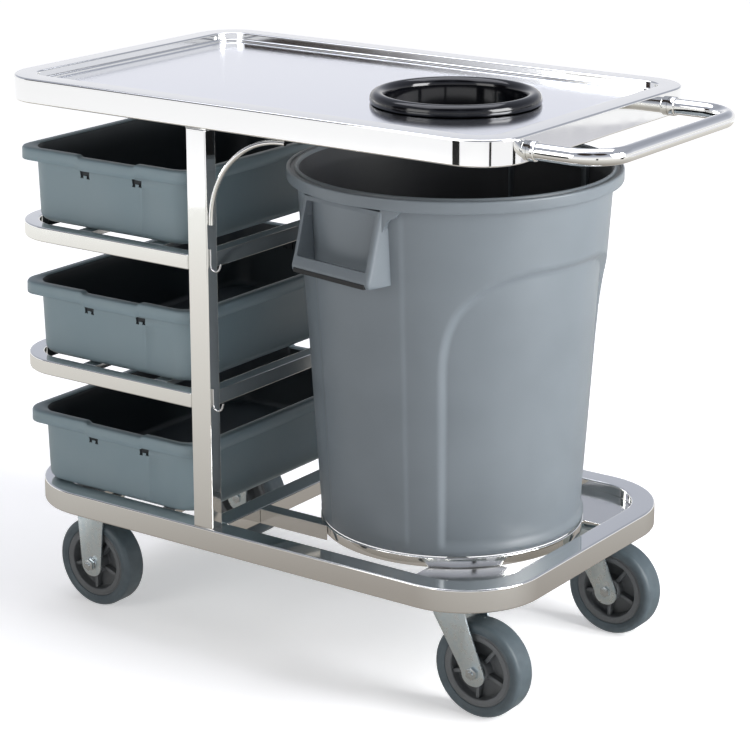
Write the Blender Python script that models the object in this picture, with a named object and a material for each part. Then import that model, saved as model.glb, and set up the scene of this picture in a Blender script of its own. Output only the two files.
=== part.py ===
"""Stainless food service trolley: recessed top tray with a waste chute, a round bin under it,
three bus tubs on open shelves, and four casters, two rigid and two swivelling.

Frame: +X along the length towards the push handle, -Y the front, +Z up, origin on the floor
under the middle of the whole trolley. The pieces are built about the middle of the two frames,
which lies further left by half the handle's reach, and main() moves them all at its end. Metres.
"""

import math

import bmesh
import bpy
from mathutils import Matrix, Vector

# ---- driving dimensions ----------------------------------------------------------------------
GAP = 0.0003                    # clearance between pieces that touch

FRAME_LENGTH = 0.950            # both frames, outside
FRAME_WIDTH = 0.588
TUBE = 0.038                    # square tube of both frames
TOP_Z = 0.908                   # top of the tray rim
TOP_HEIGHT = 0.040
TOP_RADIUS = 0.075              # outside corner radius
BASE_Z = 0.227                  # top of the base frame
BASE_HEIGHT = 0.038
BASE_RADIUS = 0.133
TRAY_DEPTH = 0.015              # rim top down to the sheet
SHEET = 0.0012

POST_X = -0.0626                # centre of the two posts
POST_WIDTH = 0.038
POST_DEPTH = 0.025

SHELF_TOPS = {"upper": 0.669, "middle": 0.4463}
SHELF_TUBE = 0.0245
SHELF_RADIUS = 0.093
REST_BAR_X = (-0.1650, -0.3150)   # cross bars that each tub stands on
REST_BAR = (0.025, 0.010)

BIN_X = 0.213
BIN_BASE_RADIUS = 0.2085
BIN_BODY_RADIUS = 0.2300        # just below the upper band
BIN_BAND_RADIUS = (0.2385, 0.2450)
BIN_RIM_RADIUS = 0.2610
BIN_RIM_HEIGHT = 0.021
BIN_BAND_Z = 0.676              # step between body and band
BIN_TOP_Z = 0.798
BIN_WALL = 0.0035
GRIP_ANGLE = math.radians(9.7)  # how far the bin's grips are turned from the front
GRIP_WIDTH = 0.165
GRIP_REACH = 0.0380             # grip bar's front face beyond the body
GRIP_TOP_Z = 0.768
GRIP_LOW_Z = 0.660
GRIP_BAR = 0.022                # height of the bar below the grip's window
GRIP_FLANGE = 0.014             # width of the frame on either side of the window

HOOP_HEIGHT = 0.016
HOOP_THICKNESS = 0.004
BIN_BAR_Y = 0.160               # long bars that carry the hoop
BIN_BAR = 0.025

CHUTE_OUTER = 0.133
CHUTE_INNER = 0.108
CHUTE_HEIGHT = 0.018            # above the sheet
CHUTE_FOOT = 0.005              # straight part below its rolled crown
CHUTE_NECK_DEPTH = 0.030        # below the sheet
CHUTE_HOLE = 0.114

HANDLE_TUBE = 0.0125            # radius
HANDLE_Y = 0.204                # legs' centre
HANDLE_X = 0.596                # cross part's centre
HANDLE_BEND = 0.060
HANDLE_Z = 0.884

BRACE_ROD = 0.004               # radius
BRACE_INSET = 0.006             # its centre behind the frame's front face
BRACE_BEND = 0.138
HOOK_ROD = 0.0015
HOOK_TOPS = {"upper": 0.682, "middle": 0.459}

TUB_X = -0.270                  # centre of the three tubs
TUB_HALF = (0.184, 0.281)       # rim, outside
TUB_RIM = 0.016                 # how far the rim stands out from the wall
TUB_RIM_HEIGHT = 0.020
TUB_RIM_CORNER = 0.036
TUB_HEIGHT = 0.123
TUB_TAPER = 0.0045
TUB_CORNER = 0.042              # the wall's outside corner
TUB_WALL = 0.003

WHEEL_RADIUS = 0.0762
WHEEL_WIDTH = 0.044
TREAD_INNER = 0.0590
HUB_WIDTH = 0.040
AXLE_RADIUS = 0.005
AXLE_HEAD = 0.0095
CASTER_X = 0.364
CASTER_Y = 0.198
CASTER_TRAIL = 0.040            # swivel casters: axle behind the kingpin
CORNER_PLATE = (0.140, 0.134, 0.004)
CORNER_PLATE_Z = BASE_Z - HOOP_HEIGHT - GAP   # its top, which the hoop stands on
CASTER_PLATE = (0.080, 0.078, 0.004)
CASTER_PLATE_CORNER = 0.014
FORK_PLATE = 0.003
FORK_INSIDE = 0.050
FORK_CROWN = {"rigid": (0.030, 0.030), "swivel": (0.036, 0.024)}   # behind and ahead of the pin
FORK_CROWN_HEIGHT = 0.016
FORK_EYE = 0.016                # radius of a leg's round end
FORK_EYE_DROP = 0.011           # its centre below the axle
SWIVEL_CROWN_Z = 0.1790
RACE_RADIUS = 0.031


# ---- helpers ---------------------------------------------------------------------------------
def clear_scene():
    for thing in list(bpy.data.objects):
        bpy.data.objects.remove(thing, do_unlink=True)


def make_material(name, colour, roughness, metallic=0.0):
    material = bpy.data.materials.new(name)
    material.use_nodes = True
    shader = material.node_tree.nodes["Principled BSDF"]
    shader.inputs["Base Color"].default_value = (*colour, 1.0)
    shader.inputs["Roughness"].default_value = roughness
    shader.inputs["Metallic"].default_value = metallic
    return material


def add_empty(name, location, parent=None):
    empty = bpy.data.objects.new(name, None)
    bpy.context.scene.collection.objects.link(empty)
    empty.location = location
    if parent is not None:
        empty.parent = parent
        empty.location = Vector(location) - parent.location
    return empty


def add_object(name, bm, material, smooth=False, parent=None):
    """Turns a bmesh in world coordinates into an object, under its joint's empty if it has one."""
    bmesh.ops.recalc_face_normals(bm, faces=bm.faces)
    mesh = bpy.data.meshes.new(name)
    if parent is not None:
        bmesh.ops.translate(bm, verts=bm.verts, vec=-world_place(parent))
    bm.to_mesh(mesh)
    bm.free()
    mesh.materials.append(material)
    if smooth:
        mesh.shade_smooth()
        mesh.set_sharp_from_angle(angle=math.radians(35))
    thing = bpy.data.objects.new(name, mesh)
    bpy.context.scene.collection.objects.link(thing)
    thing.parent = parent
    return thing


def world_place(empty):
    place = Vector(empty.location)
    while empty.parent is not None:
        empty = empty.parent
        place += Vector(empty.location)
    return place


def rounded_rectangle(half_x, half_y, radius, steps=8, centre=(0.0, 0.0)):
    """Corner points of a rounded rectangle, anticlockwise from the lower right corner."""
    points = []
    for sx, sy, start in ((1, -1, -90), (1, 1, 0), (-1, 1, 90), (-1, -1, 180)):
        for i in range(steps + 1):
            a = math.radians(start + 90 * i / steps)
            points.append(Vector((
                centre[0] + sx * (half_x - radius) + radius * math.cos(a),
                centre[1] + sy * (half_y - radius) + radius * math.sin(a),
            )))
    return points


def add_loop(bm, points, z, closed=True):
    verts = [bm.verts.new((p[0], p[1], z)) for p in points]
    pairs = list(zip(verts, verts[1:]))
    if closed:
        pairs.append((verts[-1], verts[0]))
    return [bm.edges.new(pair) for pair in pairs]


def raise_faces(bm, height):
    """Gives a flat patch of faces its thickness, along +Z."""
    raised = bmesh.ops.extrude_face_region(bm, geom=bm.faces[:])
    top = [v for v in raised["geom"] if isinstance(v, bmesh.types.BMVert)]
    bmesh.ops.translate(bm, verts=top, vec=(0, 0, height))


def flat_ring(outer, inner, low, height):
    """A closed ring with a rectangular section between two outlines of equal length."""
    bm = bmesh.new()
    edges = add_loop(bm, outer, low) + add_loop(bm, inner, low)
    bmesh.ops.bridge_loops(bm, edges=edges)
    raise_faces(bm, height)
    return bm


def flat_plate(outline, low, height):
    bm = bmesh.new()
    bm.faces.new([bm.verts.new((p[0], p[1], low)) for p in outline])
    raise_faces(bm, height)
    return bm


def block(low, high):
    bm = bmesh.new()
    size = Vector(high) - Vector(low)
    middle = (Vector(high) + Vector(low)) / 2
    bmesh.ops.create_cube(bm, size=1.0, matrix=Matrix.Translation(middle) @ Matrix.Diagonal((*size, 1)))
    return bm


def turned(profile, steps, centre, axis="Z", closed=False):
    """Spins (radius, height) points round a vertical or a Y axis through centre.

    An open profile starts and ends on the axis; a closed one is a ring's section.
    """
    bm = bmesh.new()
    verts = [bm.verts.new((r, 0, z)) for r, z in profile]
    pairs = list(zip(verts, verts[1:]))
    if closed:
        pairs.append((verts[-1], verts[0]))
    for pair in pairs:
        bm.edges.new(pair)
    bmesh.ops.spin(bm, geom=bm.verts[:] + bm.edges[:], cent=(0, 0, 0), axis=(0, 0, 1),
                   angle=2 * math.pi, steps=steps, use_merge=True)
    bmesh.ops.remove_doubles(bm, verts=bm.verts, dist=1e-6)
    if axis == "Y":
        bmesh.ops.rotate(bm, verts=bm.verts, cent=(0, 0, 0), matrix=Matrix.Rotation(math.pi / 2, 3, "X"))
    bmesh.ops.translate(bm, verts=bm.verts, vec=centre)
    return bm


def loft(outlines):
    """Joins (points, z) outlines of equal length in order and closes the first and the last."""
    bm = bmesh.new()
    rows = [[bm.verts.new((p[0], p[1], z)) for p in points] for points, z in outlines]
    for row, after in zip(rows, rows[1:]):
        count = len(row)
        for i in range(count):
            j = (i + 1) % count
            bm.faces.new((row[i], row[j], after[j], after[i]))
    bm.faces.new(rows[0])
    bm.faces.new(rows[-1])
    return bm


def arc(centre, radius, start, end, steps, plane="XZ"):
    """Points of an arc in degrees, in the XZ plane or the XY plane through centre."""
    points = []
    for i in range(steps + 1):
        a = math.radians(start + (end - start) * i / steps)
        across, along = radius * math.cos(a), radius * math.sin(a)
        step = (across, 0, along) if plane == "XZ" else (across, along, 0)
        points.append(Vector(centre) + Vector(step))
    return points


def add_rod(name, points, radius, material, sides=3):
    """A round rod along points, as a curve with filled ends."""
    curve = bpy.data.curves.new(name, "CURVE")
    curve.dimensions = "3D"
    curve.bevel_depth = radius
    curve.bevel_resolution = sides
    curve.use_fill_caps = True
    curve.render_resolution_u = 0
    spline = curve.splines.new("POLY")
    spline.points.add(len(points) - 1)
    for place, point in zip(spline.points, points):
        place.co = (*point, 1.0)
    curve.materials.append(material)
    rod = bpy.data.objects.new(name, curve)
    bpy.context.scene.collection.objects.link(rod)
    return rod


def apply_boolean(target, tool, operation):
    """Cuts or joins tool into target and removes the tool."""
    modifier = target.modifiers.new(operation.lower(), "BOOLEAN")
    modifier.operation = operation
    modifier.object = tool
    modifier.solver = "EXACT"
    bpy.context.view_layer.update()
    graph = bpy.context.evaluated_depsgraph_get()
    result = bpy.data.meshes.new_from_object(target.evaluated_get(graph))
    target.modifiers.clear()
    target.data = result
    bpy.data.objects.remove(tool, do_unlink=True)
    return target


# ---- frames ----------------------------------------------------------------------------------
def build_frames(steel):
    half = (FRAME_LENGTH / 2, FRAME_WIDTH / 2)
    inner = (half[0] - TUBE, half[1] - TUBE)
    for name, radius, top, height in (("base_frame", BASE_RADIUS, BASE_Z, BASE_HEIGHT),
                                      ("top_frame", TOP_RADIUS, TOP_Z, TOP_HEIGHT)):
        ring = flat_ring(rounded_rectangle(*half, radius), rounded_rectangle(*inner, radius - TUBE),
                         top - height, height)
        add_object(name, ring, steel)


def build_tray_sheet(steel):
    """The recessed sheet, with the round hole that the chute collar stands in."""
    half = (FRAME_LENGTH / 2 - TUBE - GAP, FRAME_WIDTH / 2 - TUBE - GAP)
    top = TOP_Z - TRAY_DEPTH
    outline = rounded_rectangle(*half, TOP_RADIUS - TUBE - GAP)
    sheet = add_object("tray_sheet", flat_plate(outline, top - SHEET, SHEET), steel)
    profile = [(0, top + 0.01), (CHUTE_HOLE, top + 0.01), (CHUTE_HOLE, top - 0.02), (0, top - 0.02)]
    cutter = add_object("hole_cutter", turned(profile, 48, (BIN_X, 0, 0)), steel)
    apply_boolean(sheet, cutter, "DIFFERENCE")


def build_posts(steel):
    low, high = BASE_Z + GAP, TOP_Z - TOP_HEIGHT - GAP
    left, right = POST_X - POST_WIDTH / 2, POST_X + POST_WIDTH / 2
    outer, inner = FRAME_WIDTH / 2, FRAME_WIDTH / 2 - POST_DEPTH
    add_object("front_post", block((left, -outer, low), (right, -inner, high)), steel)
    add_object("rear_post", block((left, inner, low), (right, outer, high)), steel)


def shelf_outline(inset):
    """The U of a shelf rail, from the front post round the left end to the rear post."""
    stop = POST_X - POST_WIDTH / 2 - GAP
    half_x, half_y = FRAME_LENGTH / 2 - inset, FRAME_WIDTH / 2 - inset
    radius = SHELF_RADIUS - inset
    centre_x, centre_y = -half_x + radius, half_y - radius
    points = [Vector((stop, half_y, 0))]
    points += arc((centre_x, centre_y, 0), radius, 90, 180, 8, "XY")
    points += arc((centre_x, -centre_y, 0), radius, 180, 270, 8, "XY")
    points.append(Vector((stop, -half_y, 0)))
    return points


def build_shelves(steel):
    """Two open shelves of tube between the posts and the left end."""
    inside = FRAME_WIDTH / 2 - POST_DEPTH - GAP
    left = POST_X - POST_WIDTH / 2
    for level, top in SHELF_TOPS.items():
        outline = shelf_outline(0.0) + shelf_outline(SHELF_TUBE)[::-1]
        add_object(f"{level}_shelf_rail", flat_plate(outline, top - SHELF_TUBE, SHELF_TUBE), steel)
        tie = block((left, -inside, top - SHELF_TUBE), (left + SHELF_TUBE, inside, top))
        add_object(f"{level}_shelf_tie", tie, steel)
        reach = FRAME_WIDTH / 2 - SHELF_TUBE - GAP
        for number, x in enumerate(REST_BAR_X, 1):
            bar = block((x - REST_BAR[0] / 2, -reach, top - REST_BAR[1]), (x + REST_BAR[0] / 2, reach, top))
            add_object(f"{level}_rest_bar_{number}", bar, steel)


def build_base_members(steel):
    """Cross tie under the posts, tub rest bars, long bars, bin hoop and corner plates."""
    reach = FRAME_WIDTH / 2 - TUBE - GAP
    left, right = POST_X - POST_WIDTH / 2, POST_X + POST_WIDTH / 2
    low = BASE_Z - BIN_BAR
    add_object("base_tie", block((left, -reach, low), (right, reach, BASE_Z)), steel)
    for number, x in enumerate(REST_BAR_X, 1):
        bar = block((x - REST_BAR[0] / 2, -reach, BASE_Z - REST_BAR[1]), (x + REST_BAR[0] / 2, reach, BASE_Z))
        add_object(f"base_rest_bar_{number}", bar, steel)

    hoop_outer = BIN_BASE_RADIUS + HOOP_THICKNESS / 2
    section = [(hoop_outer, BASE_Z), (hoop_outer, BASE_Z - HOOP_HEIGHT),
               (hoop_outer - HOOP_THICKNESS, BASE_Z - HOOP_HEIGHT), (hoop_outer - HOOP_THICKNESS, BASE_Z)]
    add_object("bin_hoop", turned(section, 64, (BIN_X, 0, 0), closed=True), steel, smooth=True)

    for side, sign in (("front", -1), ("rear", 1)):
        # the bar's end is coped to follow the hoop
        reach = hoop_outer + 2 * GAP
        edges = [sign * BIN_BAR_Y - BIN_BAR / 2, sign * BIN_BAR_Y + BIN_BAR / 2]
        angles = [180 - math.degrees(math.asin(y / reach)) for y in edges]
        cope = arc((BIN_X, 0, 0), reach, *angles, 4, "XY")
        outline = [(right + GAP, edges[0])] + [(p.x, p.y) for p in cope] + [(right + GAP, edges[1])]
        add_object(f"bin_bar_{side}", flat_plate(outline, low, BIN_BAR), steel)


def build_corner_plates(steel):
    """A plate welded in each corner of the base frame, which a caster bolts to."""
    long_side, short_side, thick = CORNER_PLATE
    edge_x, edge_y = FRAME_LENGTH / 2 - TUBE - GAP, FRAME_WIDTH / 2 - TUBE - GAP
    radius = BASE_RADIUS - TUBE - GAP
    for end, sx in (("left", -1), ("right", 1)):
        for side, sy in (("front", -1), ("rear", 1)):
            corner = arc((edge_x - radius, edge_y - radius, 0), radius, 0, 90, 8, "XY")
            points = [(edge_x, edge_y - short_side)] + [(p.x, p.y) for p in corner]
            points += [(edge_x - long_side, edge_y), (edge_x - long_side, edge_y - short_side)]
            outline = [(sx * x, sy * y) for x, y in points]
            plate = flat_plate(outline, CORNER_PLATE_Z - thick, thick)
            add_object(f"{end}_{side}_corner_plate", plate, steel)


def build_braces_and_hooks(steel, wire):
    face = POST_X + POST_WIDTH / 2 + GAP
    depth = FRAME_WIDTH / 2 - BRACE_INSET
    top = TOP_Z - TOP_HEIGHT - GAP - BRACE_ROD
    x = face + BRACE_ROD
    centre_x, centre_z = x + BRACE_BEND, top - BRACE_BEND
    for side, sign in (("front", -1), ("rear", 1)):
        bend = arc((centre_x, sign * depth, centre_z), BRACE_BEND, 180, 90, 14)
        start = Vector((x, sign * depth, centre_z - 0.005))
        end = Vector((centre_x + 0.005, sign * depth, top))
        add_rod(f"{side}_brace", [start] + bend + [end], BRACE_ROD, steel)

    for level, z in HOOK_TOPS.items():
        x = face + HOOK_ROD
        bend = 0.009
        low = z - 0.034
        points = [Vector((x, -depth, z)), Vector((x, -depth, z - 0.017))]
        points += arc((x + bend, -depth, low + bend), bend, 180, 340, 10)
        points.append(points[-1] + Vector((0.003, 0, 0.008)))
        add_rod(f"{level}_hook", points, HOOK_ROD, wire, sides=2)


def build_handle(steel):
    """The U of round tube on the right end."""
    root = FRAME_LENGTH / 2 + GAP
    bend_x, bend_y = HANDLE_X - HANDLE_BEND, HANDLE_Y - HANDLE_BEND
    points = [Vector((root, -HANDLE_Y, HANDLE_Z))]
    points += arc((bend_x, -bend_y, HANDLE_Z), HANDLE_BEND, -90, 0, 8, "XY")
    points += arc((bend_x, bend_y, HANDLE_Z), HANDLE_BEND, 0, 90, 8, "XY")
    points.append(Vector((root, HANDLE_Y, HANDLE_Z)))
    add_rod("push_handle", points, HANDLE_TUBE, steel, sides=4)


def build_chute(plastic):
    """The rolled collar that sits on the tray, with a neck through the hole."""
    base = TOP_Z - TRAY_DEPTH + GAP
    middle = (CHUTE_OUTER + CHUTE_INNER) / 2
    half = (CHUTE_OUTER - CHUTE_INNER) / 2
    crown = []
    for degrees in range(0, 181, 30):
        angle = math.radians(degrees)
        rise = CHUTE_FOOT + (CHUTE_HEIGHT - CHUTE_FOOT) * math.sin(angle)
        crown.append((middle + half * math.cos(angle), base + rise))
    neck_out = CHUTE_HOLE - 0.0008
    profile = [(neck_out, base), (CHUTE_OUTER - CHUTE_FOOT, base)] + crown
    profile += [(CHUTE_INNER, base - CHUTE_NECK_DEPTH), (neck_out, base - CHUTE_NECK_DEPTH)]
    bm = turned(profile, 40, (BIN_X, 0, 0), closed=True)
    add_object("chute_collar", bm, plastic, smooth=True)


# ---- loose containers ------------------------------------------------------------------------
def tub_outline(inset):
    """The tub's outline, inset from the rim; the wall's corners are rounder than the rim's."""
    half_x, half_y = TUB_HALF[0] - inset, TUB_HALF[1] - inset
    radius = TUB_RIM_CORNER - inset if inset < TUB_RIM else TUB_CORNER - (inset - TUB_RIM)
    return rounded_rectangle(half_x, half_y, radius, 5, (TUB_X, 0.0))


def build_tubs(plastic):
    """Three bus tubs: tapered walls and a turned-down rim."""
    floors = {"upper": SHELF_TOPS["upper"], "middle": SHELF_TOPS["middle"], "lower": BASE_Z}
    body = TUB_RIM + TUB_TAPER
    for level, support in floors.items():
        low = support + GAP
        top = low + TUB_HEIGHT
        under = top - TUB_WALL
        runs = [(body, low), (TUB_RIM, under), (TUB_WALL, under), (TUB_WALL, top - TUB_RIM_HEIGHT),
                (0.0, top - TUB_RIM_HEIGHT), (0.0, top), (TUB_RIM + TUB_WALL, top),
                (body + TUB_WALL, low + TUB_WALL)]
        bm = loft([(tub_outline(inset), z) for inset, z in runs])
        axis = add_empty(f"{level}_tub_slide", (TUB_X, 0, low))
        add_object(f"{level}_tub", bm, plastic, parent=axis)


def bin_profile(wall):
    """Half section of the bin, offset inwards by wall; wall 0 gives the outside."""
    slope = (BIN_BODY_RADIUS - BIN_BASE_RADIUS) / (BIN_BAND_Z - BASE_Z)
    foot = BASE_Z + GAP + wall
    points = [(0, foot), (BIN_BASE_RADIUS + slope * wall - wall - 0.006, foot),
              (BIN_BASE_RADIUS - wall, foot + 0.008), (BIN_BODY_RADIUS - wall, BIN_BAND_Z - 0.002),
              (BIN_BAND_RADIUS[0] - wall, BIN_BAND_Z + 0.006)]
    if wall:
        top = BIN_BAND_RADIUS[1] - wall
        return points + [(top, BIN_TOP_Z + 0.02), (0, BIN_TOP_Z + 0.02)]
    return points + [(BIN_BAND_RADIUS[1], BIN_TOP_Z - BIN_RIM_HEIGHT),
                     (BIN_RIM_RADIUS - 0.003, BIN_TOP_Z - BIN_RIM_HEIGHT),
                     (BIN_RIM_RADIUS, BIN_TOP_Z - BIN_RIM_HEIGHT + 0.003),
                     (BIN_RIM_RADIUS, BIN_TOP_Z - 0.003), (BIN_RIM_RADIUS - 0.003, BIN_TOP_Z), (0, BIN_TOP_Z)]


def grip_wedge(inset):
    """A hood on the bin's side: its face slopes out from under the rim to the grip bar."""
    outer = BIN_BODY_RADIUS + GRIP_REACH + 0.006 - inset
    upper = BIN_BAND_RADIUS[1] + 0.001 - inset
    inner = 0.200
    half = GRIP_WIDTH / 2 - inset
    low = GRIP_LOW_Z - (0.02 if inset else 0.0)
    side = [(inner, low), (outer, low), (outer, GRIP_LOW_Z + 0.020), (upper, GRIP_TOP_Z - inset),
            (inner, GRIP_TOP_Z - inset)]
    bm = bmesh.new()
    bm.faces.new([bm.verts.new((-half, -rho, z)) for rho, z in side])
    pushed = bmesh.ops.extrude_face_region(bm, geom=bm.faces[:])
    moved = [v for v in pushed["geom"] if isinstance(v, bmesh.types.BMVert)]
    bmesh.ops.translate(bm, verts=moved, vec=(2 * half, 0, 0))
    return bm


def grip_window():
    """The opening above the grip bar, through the hood's face."""
    half = GRIP_WIDTH / 2 - GRIP_FLANGE
    near, far = BIN_BODY_RADIUS - 0.020, BIN_BODY_RADIUS + GRIP_REACH + 0.020
    return block((-half, -far, GRIP_LOW_Z + GRIP_BAR), (half, -near, GRIP_TOP_Z - GRIP_FLANGE))


def build_bin(plastic):
    """The round bin with its two hooded grips, as one moulding."""
    axis = add_empty("bin_slide", (BIN_X, 0, BASE_Z))
    outside = add_object("waste_bin", turned(bin_profile(0.0), 64, (BIN_X, 0, 0)), plastic, parent=axis)
    for number in range(2):
        turn = Matrix.Rotation(-GRIP_ANGLE + math.pi * number, 4, "Z")
        place = Matrix.Translation((BIN_X, 0, 0)) @ turn
        shapes = []
        for name, bm in (("hood", grip_wedge(0.0)), ("hollow", grip_wedge(0.004)), ("window", grip_window())):
            bm.transform(place)
            shapes.append(add_object(name, bm, plastic))
        hood = apply_boolean(shapes[0], shapes[1], "DIFFERENCE")
        hood = apply_boolean(hood, shapes[2], "DIFFERENCE")
        apply_boolean(outside, hood, "UNION")
    cavity = add_object("cavity", turned(bin_profile(BIN_WALL), 64, (BIN_X, 0, 0)), plastic)
    apply_boolean(outside, cavity, "DIFFERENCE")
    outside.data.shade_smooth()
    outside.data.set_sharp_from_angle(angle=math.radians(35))


# ---- casters ---------------------------------------------------------------------------------
def build_wheel(prefix, centre, spin, rubber, plastic, steel):
    """Tyre, spoked hub body, bearing sleeve: everything that turns on the axle."""
    shoulder = 0.007
    half = WHEEL_WIDTH / 2
    crown = [(WHEEL_RADIUS - shoulder + shoulder * math.sin(math.radians(a)),
              half - shoulder + shoulder * math.cos(math.radians(a))) for a in (0, 45, 90)]
    section = [(TREAD_INNER, half - 0.003)] + crown + [(r, -z) for r, z in reversed(crown)]
    section.append((TREAD_INNER, -half + 0.003))
    add_object(f"{prefix}_tyre", turned(section, 36, centre, "Y", closed=True), rubber, True, spin)

    rim = TREAD_INNER - GAP
    wide, web = HUB_WIDTH / 2, 0.006
    boss, bore = 0.017, 0.0088
    half_hub = [(bore, wide + 0.002), (boss, wide + 0.002), (boss, web), (rim - 0.007, web), (rim - 0.007, wide),
                (rim, wide)]
    section = half_hub + [(r, -z) for r, z in reversed(half_hub)]
    add_object(f"{prefix}_hub", turned(section, 36, centre, "Y", closed=True), plastic, True, spin)

    sleeve_out, sleeve_in, sleeve_half = bore - GAP, AXLE_RADIUS + GAP, wide + 0.003
    section = [(sleeve_in, sleeve_half), (sleeve_out, sleeve_half), (sleeve_out, -sleeve_half),
               (sleeve_in, -sleeve_half)]
    add_object(f"{prefix}_sleeve", turned(section, 12, centre, "Y", closed=True), steel, True, spin)


def fork_side(crown_z, trail):
    """Side view of a fork as (x, z) points about the kingpin: a wide crown tapering to the axle."""
    back, front = FORK_CROWN["swivel" if trail else "rigid"]
    waist = crown_z - FORK_CROWN_HEIGHT
    eye = arc((trail, 0, WHEEL_RADIUS - FORK_EYE_DROP), FORK_EYE, 190, 350, 8)
    points = [(-back, crown_z), (-back, waist)] + [(p.x, p.z) for p in eye]
    return points + [(front, waist), (front, crown_z)]


def build_fork(prefix, kingpin, trail, crown_z, steel, parent):
    """A pressed fork: one sheet bent into a crown and two legs, drilled for the axle."""
    half = FORK_INSIDE / 2 + FORK_PLATE
    bm = bmesh.new()
    outline = fork_side(crown_z, trail)
    bm.faces.new([bm.verts.new((kingpin[0] + x, kingpin[1] - half, z)) for x, z in outline])
    pushed = bmesh.ops.extrude_face_region(bm, geom=bm.faces[:])
    moved = [v for v in pushed["geom"] if isinstance(v, bmesh.types.BMVert)]
    bmesh.ops.translate(bm, verts=moved, vec=(0, 2 * half, 0))
    fork = add_object(f"{prefix}_fork", bm, steel, parent=parent)
    inside = FORK_INSIDE / 2
    room = block((kingpin[0] - 0.2, kingpin[1] - inside, 0.0),
                 (kingpin[0] + 0.2, kingpin[1] + inside, crown_z - FORK_PLATE))
    apply_boolean(fork, add_object("fork_room", room, steel), "DIFFERENCE")
    hole = [(0, -0.1), (AXLE_RADIUS + GAP, -0.1), (AXLE_RADIUS + GAP, 0.1), (0, 0.1)]
    drill = turned(hole, 12, (kingpin[0] + trail, kingpin[1], WHEEL_RADIUS), "Y")
    apply_boolean(fork, add_object("fork_drill", drill, steel), "DIFFERENCE")
    return fork


def build_axle(prefix, centre, front, steel, parent):
    """A bolt through fork and wheel, its head outwards, with its nut on the other side."""
    half = FORK_INSIDE / 2 + FORK_PLATE + GAP
    out = -1 if front else 1
    head, nut, tip = half + 0.007, -half - 0.008, -half - 0.011
    section = [(0, head), (AXLE_HEAD, head), (AXLE_HEAD, half), (AXLE_RADIUS, half), (AXLE_RADIUS, -half),
               (AXLE_HEAD, -half), (AXLE_HEAD, nut), (AXLE_RADIUS, nut), (AXLE_RADIUS, tip), (0, tip)]
    bolt = turned([(r, -out * y) for r, y in section], 12, centre, "Y")
    add_object(f"{prefix}_axle_bolt", bolt, steel, True, parent)


def build_caster(end, side, plating, rubber, plastic):
    """One caster. The left pair is rigid; the right pair swivels and trails outwards."""
    prefix = f"{end}_{side}"
    swivels = end == "right"
    sx, sy = (1 if swivels else -1), (1 if side == "rear" else -1)
    pin = Vector((sx * CASTER_X, sy * CASTER_Y, 0))
    trail = CASTER_TRAIL if swivels else 0.0
    plate_top = CORNER_PLATE_Z - CORNER_PLATE[2] - GAP
    long_half, short_half, thick = CASTER_PLATE[0] / 2, CASTER_PLATE[1] / 2, CASTER_PLATE[2]
    crown_z = SWIVEL_CROWN_Z if swivels else plate_top - thick - GAP
    outline = rounded_rectangle(long_half, short_half, CASTER_PLATE_CORNER, 3, (pin.x, pin.y))
    add_object(f"{prefix}_caster_plate", flat_plate(outline, plate_top - thick, thick), plating)

    holder = None
    if swivels:
        holder = add_empty(f"{prefix}_swivel", pin)
        race_top = plate_top - thick - GAP
        race_low = crown_z + GAP
        race = [(0, race_low), (RACE_RADIUS - 0.006, race_low), (RACE_RADIUS, race_low + 0.006),
                (RACE_RADIUS, race_top - 0.004), (RACE_RADIUS - 0.004, race_top), (0, race_top)]
        add_object(f"{prefix}_swivel_race", turned(race, 32, (pin.x, pin.y, 0)), plating, True)
    axle = Vector((pin.x + trail, pin.y, WHEEL_RADIUS))
    build_fork(prefix, pin, trail, crown_z, plating, holder)
    build_axle(prefix, axle, side == "front", plating, holder)
    spin = add_empty(f"{prefix}_spin", axle, holder)
    build_wheel(prefix, axle, spin, rubber, plastic, plating)


def main():
    clear_scene()
    steel = make_material("polished_steel", (0.75, 0.75, 0.76), 0.12, 1.0)
    wire = make_material("steel_wire", (0.62, 0.62, 0.63), 0.25, 1.0)
    collar = make_material("black_plastic", (0.006, 0.006, 0.007), 0.15)
    tub = make_material("tub_plastic", (0.16, 0.21, 0.24), 0.38)
    bin_plastic = make_material("bin_plastic", (0.17, 0.21, 0.24), 0.35)
    plating = make_material("zinc_plate", (0.45, 0.54, 0.58), 0.3, 1.0)
    rubber = make_material("grey_rubber", (0.12, 0.16, 0.19), 0.6)
    hub = make_material("hub_plastic", (0.07, 0.07, 0.075), 0.5)

    build_frames(steel)
    build_tray_sheet(steel)
    build_posts(steel)
    build_shelves(steel)
    build_base_members(steel)
    build_corner_plates(steel)
    build_braces_and_hooks(steel, wire)
    build_handle(steel)
    build_chute(collar)
    build_tubs(tub)
    build_bin(bin_plastic)
    for end in ("left", "right"):
        for side in ("front", "rear"):
            build_caster(end, side, plating, rubber, hub)

    middle = (HANDLE_X + HANDLE_TUBE - FRAME_LENGTH / 2) / 2
    for thing in bpy.data.objects:
        if thing.parent is None:
            thing.location.x -= middle


main()
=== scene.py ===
"""Looks of a stainless food service trolley: a clearing tray with a waste chute, a round bin below
it, three bus tubs on open shelves, and four casters."""
import logging
import math
from dataclasses import dataclass
from enum import Enum
from typing import Sequence

import bmesh
import bpy
from mathutils import Matrix, Vector


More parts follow.
